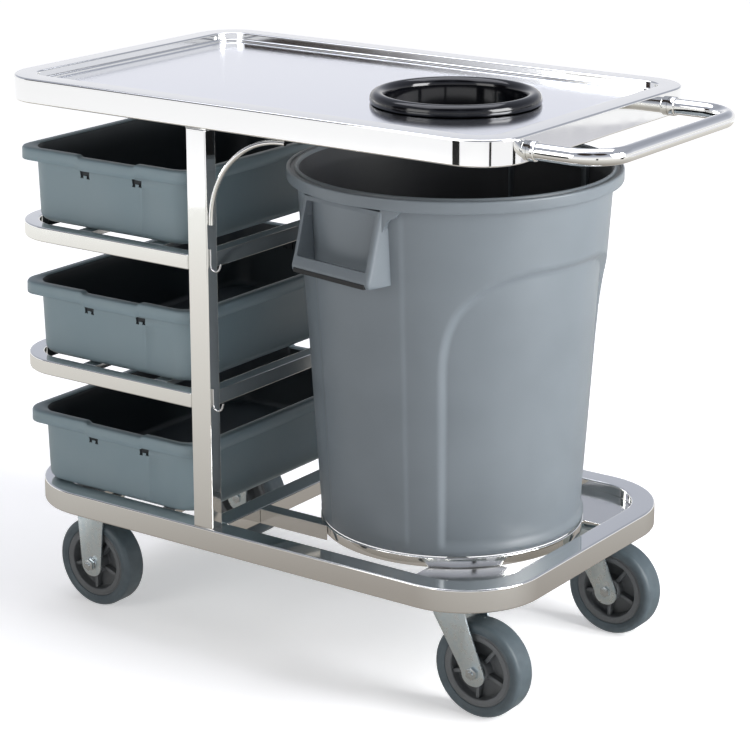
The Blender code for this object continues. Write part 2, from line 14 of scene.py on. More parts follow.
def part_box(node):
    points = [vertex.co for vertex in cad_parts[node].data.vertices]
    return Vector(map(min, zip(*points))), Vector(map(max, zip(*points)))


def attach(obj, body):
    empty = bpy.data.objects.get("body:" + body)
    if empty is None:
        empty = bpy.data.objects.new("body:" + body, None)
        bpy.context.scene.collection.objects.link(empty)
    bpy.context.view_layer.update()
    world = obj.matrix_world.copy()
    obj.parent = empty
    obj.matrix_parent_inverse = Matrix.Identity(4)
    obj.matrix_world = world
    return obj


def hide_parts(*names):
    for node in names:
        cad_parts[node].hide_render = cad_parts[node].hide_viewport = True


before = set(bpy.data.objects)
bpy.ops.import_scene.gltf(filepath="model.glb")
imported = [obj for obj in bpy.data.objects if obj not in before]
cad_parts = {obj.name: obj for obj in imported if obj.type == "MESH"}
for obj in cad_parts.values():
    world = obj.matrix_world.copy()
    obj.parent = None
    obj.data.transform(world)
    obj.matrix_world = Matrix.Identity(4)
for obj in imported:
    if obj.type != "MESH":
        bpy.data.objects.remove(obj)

log = logging.getLogger("trolley")

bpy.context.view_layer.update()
MM = 0.001


# ---- node and mesh helpers -------------------------------------------------------------------
def linear(hex_colour: str) -> tuple[float, float, float, float]:
    """Turns an sRGB hex colour such as "#7f8b90" into linear red, green, blue and alpha."""
    channels = [int(hex_colour[i:i + 2], 16) / 255 for i in (1, 3, 5)]
    return (*[c / 12.92 if c <= 0.04045 else ((c + 0.055) / 1.055) ** 2.4 for c in channels], 1.0)


def add_node(tree: bpy.types.NodeTree, kind: str, links: dict | None = None,
             **settings: object) -> bpy.types.Node:
    """Adds a node.

    Args:
        tree: the node tree it goes in.
        kind: the node's type name.
        links: input name or number to a value, or to the output socket that feeds it.
        settings: the node's own properties.

    Returns:
        The new node.
    """
    node = tree.nodes.new(kind)
    for name, value in settings.items():
        setattr(node, name, value)
    for name, value in (links or {}).items():
        if isinstance(value, bpy.types.NodeSocket):
            tree.links.new(value, node.inputs[name])
        else:
            node.inputs[name].default_value = value
    return node


def verts_of(geom: Sequence) -> list:
    """The vertices in a list of bmesh geometry."""
    return [item for item in geom if isinstance(item, bmesh.types.BMVert)]


def edges_between(geom: Sequence) -> list:
    """The edges in a list of bmesh geometry whose two ends are in it as well."""
    verts = set(verts_of(geom))
    return [e for e in geom if isinstance(e, bmesh.types.BMEdge) and verts.issuperset(e.verts)]


def rounded_plate(low: Vector, high: Vector, radius: float, steps: int = 16) -> bmesh.types.BMesh:
    """A flat rounded rectangle.

    Args:
        low: its lowest corner, whose z is the plate's height.
        high: its highest corner.
        radius: corner radius.
        steps: segments to a corner.

    Returns:
        A bmesh with one face.
    """
    bm = bmesh.new()
    middle = Vector(((low.x + high.x) / 2, (low.y + high.y) / 2, low.z))
    scale = Matrix.Diagonal((high.x - low.x, high.y - low.y, 1, 1))
    bmesh.ops.create_grid(bm, x_segments=1, y_segments=1, size=0.5,
                          matrix=Matrix.Translation(middle) @ scale)
    round_corners(bm, bm.verts[:], radius, steps)
    return bm


def rounded_ring(low: Vector, high: Vector, radius: float, width: float, steps: int) -> bmesh.types.BMesh:
    """A flat ring between a rounded rectangle and its inner offset.

    Args:
        low: its lowest corner, whose z is the ring's height.
        high: its highest corner.
        radius: outer corner radius.
        width: how wide the ring is.
        steps: segments to a corner.

    Returns:
        A bmesh of the ring's faces.
    """
    bm = rounded_plate(low, high, radius, steps)
    hole = bm.faces[:]
    bmesh.ops.inset_region(bm, faces=hole, thickness=width, use_boundary=True, use_even_offset=True)
    bmesh.ops.delete(bm, geom=hole, context="FACES")
    return bm


def round_corners(bm: bmesh.types.BMesh, corners: Sequence, radius: float, steps: int) -> None:
    """Rounds a flat face's right-angled corners to an arc of that radius."""
    bmesh.ops.bevel(bm, geom=corners, offset=radius, offset_type="ABSOLUTE", affect="VERTICES",
                    segments=steps, profile=0.5, material=-1)


def thicken(bm: bmesh.types.BMesh, depth: Vector) -> None:
    """Extrudes every face of a flat patch by a vector, which closes it.

    Args:
        bm: the patch.
        depth: how far, and which way.
    """
    made = bmesh.ops.extrude_face_region(bm, geom=bm.faces[:])
    bmesh.ops.translate(bm, verts=verts_of(made["geom"]), vec=depth)
    bmesh.ops.recalc_face_normals(bm, faces=bm.faces)


def soften(bm: bmesh.types.BMesh, width: float, segments: int = 3, degrees: float = 50.0) -> None:
    """Rounds every edge that turns by more than an angle.

    Args:
        bm: the bmesh.
        width: how wide the rounding is.
        segments: steps across it.
        degrees: the least turn that is rounded.
    """
    limit = math.radians(degrees)
    sharp = [e for e in bm.edges if len(e.link_faces) == 2 and e.calc_face_angle() > limit]
    bmesh.ops.bevel(bm, geom=sharp, offset=width, offset_type="OFFSET", affect="EDGES",
                    segments=segments, profile=0.5, material=-1, clamp_overlap=True)


def box_mesh(low: Vector, high: Vector, edge: float, segments: int = 3) -> bmesh.types.BMesh:
    """A block between two corners with rounded edges.

    Args:
        low: its lowest corner.
        high: its highest corner.
        edge: how wide its rounded edges are.
        segments: steps across an edge.

    Returns:
        A closed bmesh.
    """
    bm = bmesh.new()
    scale = Matrix.Diagonal((*(high - low), 1))
    bmesh.ops.create_cube(bm, size=1.0, matrix=Matrix.Translation((low + high) / 2) @ scale)
    if edge:
        soften(bm, edge, segments)
    return bm


def turned(profile: Sequence[tuple[float, float]], steps: int, centre: Vector,
           axis: str = "Z") -> bmesh.types.BMesh:
    """Spins a closed or axis-to-axis outline into a round piece.

    Args:
        profile: (radius, height) points; one that starts off the axis is closed on itself.
        steps: segments of the full turn.
        centre: where the axis and height zero are.
        axis: "Z", or "Y" for a wheel's parts, whose heights then run along -Y.

    Returns:
        A closed bmesh.
    """
    bm = bmesh.new()
    verts = [bm.verts.new((radius, 0, height)) for radius, height in profile]
    pairs = list(zip(verts, verts[1:]))
    if profile[0][0] > 0:
        pairs.append((verts[-1], verts[0]))
    for pair in pairs:
        bm.edges.new(pair)
    bmesh.ops.spin(bm, geom=bm.verts[:] + bm.edges[:], cent=(0, 0, 0), axis=(0, 0, 1),
                   angle=2 * math.pi, steps=steps, use_merge=True)
    bmesh.ops.remove_doubles(bm, verts=bm.verts, dist=1e-6)
    if axis == "Y":
        bmesh.ops.rotate(bm, verts=bm.verts, cent=(0, 0, 0), matrix=Matrix.Rotation(math.pi / 2, 3, "X"))
    bmesh.ops.translate(bm, verts=bm.verts, vec=centre)
    bmesh.ops.recalc_face_normals(bm, faces=bm.faces)
    return bm


def arc(centre: tuple[float, float], radius: float, start: float, end: float, steps: int) -> list:
    """Points of an arc, in degrees, for a turned outline."""
    turns = [math.radians(start + (end - start) * i / steps) for i in range(steps + 1)]
    return [(centre[0] + radius * math.cos(a), centre[1] + radius * math.sin(a)) for a in turns]


def smooth_step(value: float) -> float:
    """Eases a value from 0 to 1, held at both ends."""
    held = min(max(value, 0.0), 1.0)
    return held * held * (3 - 2 * held)


def ramp_step(value: float, round_off: float = 0.16) -> float:
    """A straight slope from 0 to 1 whose two ends are only a little rounded.

    Args:
        value: the value, eased between 0 and 1.
        round_off: share of the slope that each end takes to bend.

    Returns:
        The eased value.
    """
    held = min(max(value, 0.0), 1.0)
    near = min(held, 1 - held)
    eased = near * near / (2 * round_off) if near < round_off else near - round_off / 2
    whole = eased / (1 - round_off)
    return whole if held < 0.5 else 1 - whole


class Sweep:
    """A round bar grown from one end: pushed straight on and turned round its bends."""

    def __init__(self, start: Vector, along: Vector, radius: float, sides: int = 20) -> None:
        """Starts the bar with a closed end.

        Args:
            start: middle of the first end.
            along: direction that the bar leaves in.
            radius: the bar's radius.
            sides: sides of its round section.
        """
        self.bm = bmesh.new()
        self.place = Vector(start)
        self.along = Vector(along).normalized()
        turn = self.along.to_track_quat("Z", "Y").to_matrix().to_4x4()
        bmesh.ops.create_circle(self.bm, cap_ends=True, radius=radius, segments=sides,
                                matrix=Matrix.Translation(self.place) @ turn)
        self.ring = self.bm.edges[:]

    def straight(self, length: float) -> "Sweep":
        """Grows the bar straight on by a length.

        Args:
            length: how far.

        Returns:
            The bar itself.
        """
        made = bmesh.ops.extrude_edge_only(self.bm, edges=self.ring)["geom"]
        bmesh.ops.translate(self.bm, verts=verts_of(made), vec=self.along * length)
        self.ring = edges_between(made)
        self.place += self.along * length
        return self

    def bend(self, towards: Vector, radius: float, degrees: float, steps: int = 16) -> "Sweep":
        """Turns the bar towards a direction square to it, round a bend of that radius.

        Args:
            towards: direction that the bar turns to.
            radius: radius of the bend.
            degrees: how far it turns.
            steps: segments round the bend.

        Returns:
            The bar itself.
        """
        centre = self.place + Vector(towards) * radius
        axis = self.along.cross(Vector(towards))
        ends = sorted({v for e in self.ring for v in e.verts}, key=lambda v: v.index)
        made = bmesh.ops.spin(self.bm, geom=ends + self.ring, cent=centre, axis=axis,
                              angle=math.radians(degrees), steps=steps, use_merge=False)["geom_last"]
        self.ring = edges_between(made)
        turn = Matrix.Rotation(math.radians(degrees), 3, axis)
        self.place = centre + turn @ (self.place - centre)
        self.along = turn @ self.along
        return self

    def end(self) -> bmesh.types.BMesh:
        """Closes the far end and returns the mesh."""
        bmesh.ops.edgeloop_fill(self.bm, edges=self.ring)
        bmesh.ops.recalc_face_normals(self.bm, faces=self.bm.faces)
        return self.bm


# ---- finishes --------------------------------------------------------------------------------
@dataclass(frozen=True)
class Finish:
    """What a surface is made of; its subclasses add the pattern that its making leaves."""

    name: str
    slot: str
    colour: str
    roughness: float
    metallic: float = 0.0

    def material(self) -> bpy.types.Material:
        """The finish's material, made at its first use."""
        found = bpy.data.materials.get(self.name)
        if found is None:
            found = bpy.data.materials.new(self.name)
            found.use_nodes = True
            tree = found.node_tree
            shader = tree.nodes["Principled BSDF"]
            shader.inputs["Base Color"].default_value = linear(self.colour)
            shader.inputs["Roughness"].default_value = self.roughness
            shader.inputs["Metallic"].default_value = self.metallic
            self.pattern(tree, shader)
        return found

    def pattern(self, tree: bpy.types.NodeTree, shader: bpy.types.Node) -> None:
        """Leaves a plain surface."""

    def noise(self, tree: bpy.types.NodeTree, feature: float, detail: float = 2.0,
              stretch: tuple[float, float, float] = (1, 1, 1)) -> bpy.types.NodeSocket:
        """Soft noise fixed to the piece.

        Args:
            tree: the material's node tree.
            feature: size of its features in millimetres.
            detail: octaves of finer noise.
            stretch: how many times finer it is along x, y and z.

        Returns:
            The socket of its value, about 0.3 to 0.7.
        """
        place = add_node(tree, "ShaderNodeTexCoord").outputs["Object"]
        mapped = add_node(tree, "ShaderNodeMapping", {"Vector": place, "Scale": stretch})
        scale = 1 / (feature * MM)
        return add_node(tree, "ShaderNodeTexNoise", {"Vector": mapped.outputs[0], "Scale": scale,
                                                     "Detail": detail}).outputs["Fac"]

    def between(self, tree: bpy.types.NodeTree, value: bpy.types.NodeSocket, low: float,
                high: float) -> bpy.types.NodeSocket:
        """Spreads noise over a range of values."""
        return add_node(tree, "ShaderNodeMapRange", {"Value": value, "From Min": 0.3, "From Max": 0.7,
                                                     "To Min": low, "To Max": high}).outputs["Result"]

    def tint(self, tree: bpy.types.NodeTree, value: bpy.types.NodeSocket, first: str,
             second: str) -> bpy.types.NodeSocket:
        """Mixes two colours by noise."""
        return colour_ramp(tree, value, ((0.3, first), (0.7, second)))

    def bump(self, tree: bpy.types.NodeTree, shader: bpy.types.Node, height: bpy.types.NodeSocket,
             depth: float, strength: float) -> None:
        """Raises the surface by noise, depth in millimetres.

        Args:
            tree: the material's node tree.
            shader: its Principled shader.
            height: the socket of the noise.
            depth: height of the relief in millimetres.
            strength: how strongly it shades.
        """
        node = add_node(tree, "ShaderNodeBump", {"Height": height, "Distance": depth * MM,
                                                 "Strength": strength})
        tree.links.new(node.outputs["Normal"], shader.inputs["Normal"])


@dataclass(frozen=True)
class PolishedStainless(Finish):
    """Welded tube, ground and buffed: a near mirror whose reflections waver a little, with hazy
    patches where the buffing was lighter."""

    wave: float = 140.0
    haze: float = 35.0

    def pattern(self, tree: bpy.types.NodeTree, shader: bpy.types.Node) -> None:
        """Adds the haze to the roughness and the long waves to the surface.

        Args:
            tree: the material's node tree.
            shader: its Principled shader.
        """
        haze = self.between(tree, self.noise(tree, self.haze, 3.0), self.roughness * 0.6,
                            self.roughness * 1.5)
        tree.links.new(haze, shader.inputs["Roughness"])
        self.bump(tree, shader, self.noise(tree, self.wave, 1.0), 1.0, 0.25)


@dataclass(frozen=True)
class GrainedStainless(Finish):
    """Cold-rolled sheet with a fine satin grain along its length. The true grain is under 0.1 mm
    and wouldn't show, so it is drawn 1.2 mm wide and very faint."""

    grain: float = 1.2
    length: float = 60.0

    def pattern(self, tree: bpy.types.NodeTree, shader: bpy.types.Node) -> None:
        """Streaks the roughness, the colour and the surface along X.

        Args:
            tree: the material's node tree.
            shader: its Principled shader.
        """
        streak = self.noise(tree, self.length, 2.0, (1, self.length / self.grain, 1))
        tree.links.new(self.between(tree, streak, self.roughness * 0.85, self.roughness * 1.15),
                       shader.inputs["Roughness"])
        self.bump(tree, shader, streak, 0.02, 0.25)


@dataclass(frozen=True)
class ZincPlated(Finish):
    """Pressed steel with bright blue zinc: satin metal, cool, clouded in patches of a few
    millimetres."""

    cloud: float = 9.0
    second: str = "#cbd9e0"

    def pattern(self, tree: bpy.types.NodeTree, shader: bpy.types.Node) -> None:
        """Clouds the colour and the roughness.

        Args:
            tree: the material's node tree.
            shader: its Principled shader.
        """
        cloud = self.noise(tree, self.cloud, 4.0)
        tree.links.new(self.tint(tree, cloud, self.colour, self.second), shader.inputs["Base Color"])
        tree.links.new(self.between(tree, cloud, self.roughness * 0.8, self.roughness * 1.3),
                       shader.inputs["Roughness"])
        self.bump(tree, shader, self.noise(tree, 3.0, 2.0), 0.04, 0.3)


@dataclass(frozen=True)
class MouldedPlastic(Finish):
    """Injection moulded polyolefin: waxy satin with an etched mould grain and a faint unevenness
    of colour where the melt flowed. The true grain is about 0.3 mm and is drawn at grain mm."""

    second: str = "#808b90"
    grain: float = 0.9
    depth: float = 0.03

    def pattern(self, tree: bpy.types.NodeTree, shader: bpy.types.Node) -> None:
        """Mottles the colour and grains the surface.

        Args:
            tree: the material's node tree.
            shader: its Principled shader.
        """
        flow = self.noise(tree, 120.0, 2.0)
        tree.links.new(self.tint(tree, flow, self.colour, self.second), shader.inputs["Base Color"])
        grain = self.noise(tree, self.grain, 2.0)
        tree.links.new(self.between(tree, grain, self.roughness * 0.9, self.roughness * 1.12),
                       shader.inputs["Roughness"])
        self.bump(tree, shader, grain, self.depth, 0.4)


@dataclass(frozen=True)
class SolidRubber(Finish):
    """Grey non-marking rubber, moulded and lightly scuffed: matt, with dusty lighter patches."""

    second: str = "#4d595f"
    dust: float = 14.0

    def pattern(self, tree: bpy.types.NodeTree, shader: bpy.types.Node) -> None:
        """Dusts the colour and roughens the surface.

        Args:
            tree: the material's node tree.
            shader: its Principled shader.
        """
        dust = self.noise(tree, self.dust, 5.0)
        tree.links.new(self.tint(tree, dust, self.colour, self.second), shader.inputs["Base Color"])
        self.bump(tree, shader, self.noise(tree, 1.4, 3.0), 0.06, 0.5)


class Finishes(Enum):
    """Every finish on the trolley."""

    # buffed tube: nearly a mirror, so it takes its light and dark bands from the room
    TUBE = PolishedStainless("polished_stainless_tube", "polished_steel", "#f0f0ee", 0.055, 1.0)
    # the tray's sheet: satin, so the room is a soft pale wash in it
    SHEET = GrainedStainless("satin_stainless_sheet", "polished_steel", "#f4f5f9", 0.13, 1.0)
    # cut and ground flat bar: greyer and a little hazier than the tube
    BAR = PolishedStainless("buffed_stainless_flat_bar", "polished_steel", "#dcdcda", 0.14, 1.0)
    # wire as drawn: bright, with the die's haze
    WIRE = PolishedStainless("drawn_stainless_wire", "steel_wire", "#d6d7d8", 0.16, 1.0)
    # moulded in a polished tool: black with sharp highlights
    COLLAR = Finish("gloss_black_abs", "black_plastic", "#0b0c10", 0.11)
    # the tubs' outside: blue grey satin
    TUB = MouldedPlastic("moulded_grey_polypropylene", "tub_plastic", "#72848b", 0.40, second="#78888e")
    # the tubs' inside is the same plastic in deep shade, drawn darker to give that depth
    TUB_INSIDE = MouldedPlastic("shaded_grey_polypropylene", "tub_plastic", "#2f373c", 0.42,
                                second="#343c41")
    # the small pockets under the grips: nearly black with shade
    TUB_SHADE = MouldedPlastic("painted_shade_pocket_polypropylene", "tub_plastic", "#20262a", 0.6,
                               second="#252b2f")
    # the bin's outside: a plainer grey than the tubs
    BIN = MouldedPlastic("moulded_grey_polyethylene", "bin_plastic", "#666e74", 0.40, second="#6c747a")
    # the bin's inside: painted shade, drawn darker for its depth
    BIN_INSIDE = MouldedPlastic("shaded_grey_polyethylene", "bin_plastic", "#36383b", 0.5,
                                second="#3b3d40")
    # the channel under the finger bar, which light doesn't reach
    BIN_SHADE = MouldedPlastic("painted_shade_channel_polyethylene", "bin_plastic", "#101214", 0.6,
                               second="#14171a")
    # pressed caster parts: cool satin metal with clouds
    ZINC = ZincPlated("blue_zinc_plated_steel", "zinc_plate", "#dde6ea", 0.3, 1.0)
    # bolts, nuts and washers: the same plating, brighter
    BOLT = ZincPlated("bright_zinc_fastener", "zinc_plate", "#d5dadd", 0.22, 1.0, second="#bcc6ca")
    # the tyres: matt blue grey
    RUBBER = SolidRubber("grey_tread_rubber", "grey_rubber", "#444f55", 0.48)
    # the hubs: warm dull grey
    HUB = MouldedPlastic("moulded_nylon_hub", "hub_plastic", "#56595b", 0.5, second="#5d6062")


def add_piece(name: str, bm: bmesh.types.BMesh, finish: Finishes, body: str, *nodes: str,
              sharp: float = 35.0, flat_true: bool = False) -> bpy.types.Object:
    """Turns a bmesh into a finished piece that rides on a body.

    Args:
        name: the piece's name.
        bm: its mesh, in place; it is freed.
        finish: what it is made of.
        body: the body it moves with.
        nodes: the CAD nodes it stands for.
        sharp: edges that turn by more degrees than this stay sharp.
        flat_true: keeps large flats flat beside rounded edges, for mirror-like metal.

    Returns:
        The new object.
    """
    mesh = bpy.data.meshes.new(name)
    bm.to_mesh(mesh)
    bm.free()
    mesh.materials.append(finish.value.material())
    mesh.shade_smooth()
    mesh.set_sharp_from_angle(angle=math.radians(sharp))
    piece = bpy.data.objects.new(name, mesh)
    bpy.context.scene.collection.objects.link(piece)
    if flat_true:
        modifier = piece.modifiers.new("true_flats", "WEIGHTED_NORMAL")
        modifier.keep_sharp = True
    if nodes:
        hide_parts(*nodes)
    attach(piece, body)
    log.info("%s on %s: %d faces", name, body, len(mesh.polygons))
    return piece


def carve(piece: bpy.types.Object, tool: bmesh.types.BMesh) -> None:
    """Cuts a tool's mesh out of a piece and keeps the result.

    Args:
        piece: the piece that is cut.
        tool: what is taken away from it; it is freed.
    """
    mesh = bpy.data.meshes.new("tool")
    tool.to_mesh(mesh)
    tool.free()
    cutter = bpy.data.objects.new("tool", mesh)
    bpy.context.scene.collection.objects.link(cutter)
    modifier = piece.modifiers.new("carve", "BOOLEAN")
    modifier.operation = "DIFFERENCE"
    modifier.object = cutter
    modifier.solver = "EXACT"
    bpy.context.view_layer.update()
    graph = bpy.context.evaluated_depsgraph_get()
    result = bpy.data.meshes.new_from_object(piece.evaluated_get(graph))
    piece.modifiers.remove(modifier)
    old, piece.data = piece.data, result
    bpy.data.meshes.remove(old)
    bpy.data.objects.remove(cutter, do_unlink=True)
    bpy.data.meshes.remove(mesh)


# ---- the studio ------------------------------------------------------------------------------
@dataclass(frozen=True)
class LitPaper(Finish):
    """Studio paper or card, lit from behind: matt, with a glow that may change outwards."""

    glow: float = 0.5
    far_glow: float = 0.0
    glow_from: float = 0.9
    glow_to: float = 3.2
    fade: tuple[tuple[float, str], ...] = ()
    reach: float = 3.4

    def pattern(self, tree: bpy.types.NodeTree, shader: bpy.types.Node) -> None:
        """Adds the glow; each step of fade is a share of reach outwards and its colour.

        Args:
            tree: the material's node tree.
            shader: its Principled shader.
        """
        shader.inputs["Emission Color"].default_value = linear(self.colour)
        shader.inputs["Emission Strength"].default_value = self.glow
        if self.far_glow:
            place = add_node(tree, "ShaderNodeTexCoord").outputs["Object"]
            away = add_node(tree, "ShaderNodeVectorMath", {0: place}, operation="LENGTH").outputs["Value"]
            glow = add_node(tree, "ShaderNodeMapRange",
                            {"Value": away, "From Min": self.glow_from, "From Max": self.glow_to,
                             "To Min": self.glow, "To Max": self.far_glow})
            tree.links.new(glow.outputs["Result"], shader.inputs["Emission Strength"])
        if self.fade:
            shader.inputs["Base Color"].default_value = linear("#000000")
            place = add_node(tree, "ShaderNodeTexCoord").outputs["Object"]
            away = add_node(tree, "ShaderNodeVectorMath", {0: place}, operation="LENGTH").outputs["Value"]
            share = add_node(tree, "ShaderNodeMapRange", {"Value": away, "From Min": 0.0,
                                                          "From Max": self.reach}).outputs["Result"]
            ramp = colour_ramp(tree, share, self.fade)
            tree.links.new(ramp, shader.inputs["Emission Color"])


def colour_ramp(tree: bpy.types.NodeTree, value: bpy.types.NodeSocket,
                steps: Sequence[tuple[float, str]]) -> bpy.types.NodeSocket:
    """Turns a value into colour.

    Args:
        tree: the node tree.
        value: what the ramp reads.
        steps: positions and sRGB hex colours, in order.

    Returns:
        The colour socket.
    """
    ramp = add_node(tree, "ShaderNodeValToRGB", {"Fac": value})
    elements = ramp.color_ramp.elements
    for number, (position, colour) in enumerate(steps):
        element = elements[number] if number < 2 else elements.new(position)
        element.position, element.color = position, linear(colour)
    return ramp.outputs["Color"]


@dataclass(frozen=True)
class Studio:
    """Pale floor, soft light and the camera."""

    camera_place: tuple[float, float, float] = (2.1887, -3.0925, 1.6000)
    yaw: float = 35.359
    pitch: float = 15.778
    lens: float = 117.56
    shift: float = -0.08
    floor_radius: float = 16.0
    dark_panels: tuple[tuple[float, float, float], ...] = ((-137.0, 14.0, 15.0), (-72.0, 48.0, 17.0),
                                                           (-30.0, 48.0, 15.0))
    panel_colour: str = "#342c27"
    ambient: float = 0.17
    # azimuth and width of the narrow flags about the tray's front right corner
    flags: tuple[tuple[float, float], ...] = ((-110.0, 0.36), (-36.0, 0.10), (20.0, 0.16))
    flag_centre: tuple[float, float, float] = (0.333, -0.219, 0.0)
    flag_away: float = 1.2
    flag_height: float = 0.57
    flag_tall: float = 0.42
    light_aim: tuple[float, float, float] = (0.0, 0.0, 0.45)

    def build(self) -> None:
        """Makes the floor, the world, the lights and the camera."""
        self.floor()
        self.world()
        self.light("key_light", (3.0, 0.3, 1.5), (1.5, 2.0), 128.0, "#ffffff")
        self.light("top_light", (-0.4, 0.3, 3.2), (3.0, 2.4), 60.0, "#f6f7ff")
        self.light("front_light", (-0.95, -3.4, 1.75), (2.0, 1.8), 30.0, "#fffdf8")
        self.cards()
        self.camera()

    def card(self, name: str, bm: bmesh.types.BMesh, finish: Finish, hidden: bool = True) -> None:
        """Adds a stage piece; a hidden one is seen only in reflections.

        Args:
            name: its name.
            bm: its mesh, in place; it is freed.
            finish: what it is made of.
            hidden: whether it shows only in reflections.
        """
        mesh = bpy.data.meshes.new(name)
        bm.to_mesh(mesh)
        bm.free()
        mesh.materials.append(finish.material())
        card = bpy.data.objects.new(name, mesh)
        bpy.context.scene.collection.objects.link(card)
        if hidden:
            card.visible_camera = card.visible_diffuse = card.visible_shadow = False

    def floor(self) -> None:
        """A matt pale floor that runs out of view."""
        bm = bmesh.new()
        bmesh.ops.create_circle(bm, cap_ends=True, radius=self.floor_radius, segments=96)
        paper = LitPaper("matt_white_paper", "", "#f6f6f7", 0.8, glow=0.42, far_glow=0.95)
        self.card("floor", bm, paper, False)

    def cards(self) -> None:
        """Grey cards on the floor, and narrow dark flags that the tray's corner mirrors."""
        steps = ((0.0, "#8f8981"), (0.20, "#9b958e"), (0.31, "#b8b4ae"), (0.52, "#d6d3cd"),
                 (0.74, "#e8e5e0"), (0.95, "#f8f8f4"))
        around = LitPaper("warm_grey_card", "", "#000000", 0.9, glow=1.0, fade=steps, reach=3.5)
        bm = bmesh.new()
        bmesh.ops.create_circle(bm, cap_ends=True, radius=around.reach, segments=64,
                                matrix=Matrix.Translation((0, 0, 0.002)))
        self.card("grey_card", bm, around)
        end = LitPaper("cool_grey_card", "", "#c9c9ce", 0.9, glow=0.9)
        self.card("end_card", self.sheet((2.5, 2.9, 0.003), (1.5, 1.9), Matrix()), end)
        black = LitPaper("black_card", "", "#050505", 0.9, glow=0.0)
        for number, (azimuth, wide) in enumerate(self.flags):
            turn = Matrix.Translation(self.flag_centre) @ Matrix.Rotation(math.radians(azimuth), 4, "Z")
            stand = turn @ Matrix.Translation((self.flag_away, 0, self.flag_height))
            stand = stand @ Matrix.Rotation(math.pi / 2, 4, "Y")
            self.card(f"dark_flag_{number}", self.sheet((0, 0, 0), (self.flag_tall, wide), stand), black)

    def sheet(self, place: tuple, size: tuple, turn: Matrix) -> bmesh.types.BMesh:
        """A flat card, its size along x and y, turned last.

        Args:
            place: its middle.
            size: its length and width.
            turn: how the whole is turned and moved.

        Returns:
            A bmesh of one face.
        """
        bm = bmesh.new()
        scale = Matrix.Diagonal((*size, 1, 1))
        bmesh.ops.create_grid(bm, x_segments=1, y_segments=1, size=0.5,
                              matrix=turn @ Matrix.Translation(place) @ scale)
        return bm

    def world(self) -> None:
        """White behind the floor's edge, a graded sky with dark patches in reflections, and a dimmer
        even light on everything matt."""
        world = bpy.data.worlds.new("studio")
        bpy.context.scene.world = world
        world.use_nodes = True
        tree = world.node_tree
        direction = add_node(tree, "ShaderNodeTexCoord").outputs["Generated"]
        height = add_node(tree, "ShaderNodeSeparateXYZ", {0: direction}).outputs["Z"]
        sky = colour_ramp(tree, height, ((0.0, "#ffffff"), (1.0, "#b4b8c4"), (0.170, "#f2f3f9"),
                                         (0.260, "#c6cad6"), (0.5, "#a3a7b3")))
        shaded = sky
        for azimuth, elevation, spread in self.dark_panels:
            shaded = self.dark_panel(tree, direction, shaded, azimuth, elevation, spread)
        rays = add_node(tree, "ShaderNodeLightPath")
        seen = add_node(tree, "ShaderNodeMix", {"Factor": rays.outputs["Is Camera Ray"], 6: shaded,
                                                7: linear("#ffffff")}, data_type="RGBA")
        strength = add_node(tree, "ShaderNodeMapRange", {"Value": rays.outputs["Is Diffuse Ray"],
                                                         "To Min": 1.0, "To Max": self.ambient})
        tree.links.new(seen.outputs[2], tree.nodes["Background"].inputs["Color"])
        tree.links.new(strength.outputs["Result"], tree.nodes["Background"].inputs["Strength"])

    def dark_panel(self, tree: bpy.types.NodeTree, direction: bpy.types.NodeSocket,
                   sky: bpy.types.NodeSocket, azimuth: float, elevation: float,
                   spread: float) -> bpy.types.NodeSocket:
        """Darkens a round patch of the sky.

        Args:
            tree: the world's node tree.
            direction: the ray's direction.
            sky: the colour so far.
            azimuth: where the patch's middle is, in degrees.
            elevation: how high its middle is, in degrees.
            spread: its half width in degrees.

        Returns:
            The colour with the patch in it.
        """
        across, up = math.radians(azimuth), math.radians(elevation)
        middle = (math.cos(across) * math.cos(up), math.sin(across) * math.cos(up), math.sin(up))
        towards = add_node(tree, "ShaderNodeVectorMath", {0: direction, 1: middle},
                           operation="DOT_PRODUCT").outputs["Value"]
        rim, heart = math.cos(math.radians(spread)), math.cos(math.radians(spread * 0.8))
        amount = add_node(tree, "ShaderNodeMapRange", {"Value": towards, "From Min": rim,
                                                       "From Max": heart})
        return add_node(tree, "ShaderNodeMix", {"Factor": amount.outputs["Result"], 6: sky,
                                                7: linear(self.panel_colour)},
                        data_type="RGBA").outputs[2]

    def light(self, name: str, place: tuple, size: tuple, power: float, tint: str) -> None:
        """A soft rectangular light that faces the middle of the trolley.

        Args:
            name: its name.
            place: its middle.
            size: its two sides.
            power: watts.
            tint: its sRGB hex colour.
        """
        lamp = bpy.data.lights.new(name, "AREA")
        lamp.shape = "RECTANGLE"
        lamp.size, lamp.size_y = size
        lamp.energy = power
        lamp.color = linear(tint)[:3]
        thing = bpy.data.objects.new(name, lamp)
        thing.location = place
        aim = Vector(self.light_aim) - Vector(place)
        thing.rotation_euler = aim.to_track_quat("-Z", "Y").to_euler()
        bpy.context.scene.collection.objects.link(thing)

    def camera(self) -> None:
        """The camera, with colours shown as they are."""
        data = bpy.data.cameras.new("camera")
        data.lens = self.lens
        data.sensor_width = 36.0
        data.shift_y = self.shift
        camera = bpy.data.objects.new("camera", data)
        camera.location = self.camera_place
        camera.rotation_euler = (math.radians(90 - self.pitch), 0, math.radians(self.yaw))
        bpy.context.scene.collection.objects.link(camera)
        bpy.context.scene.camera = camera
        bpy.context.scene.view_settings.view_transform = "Standard"


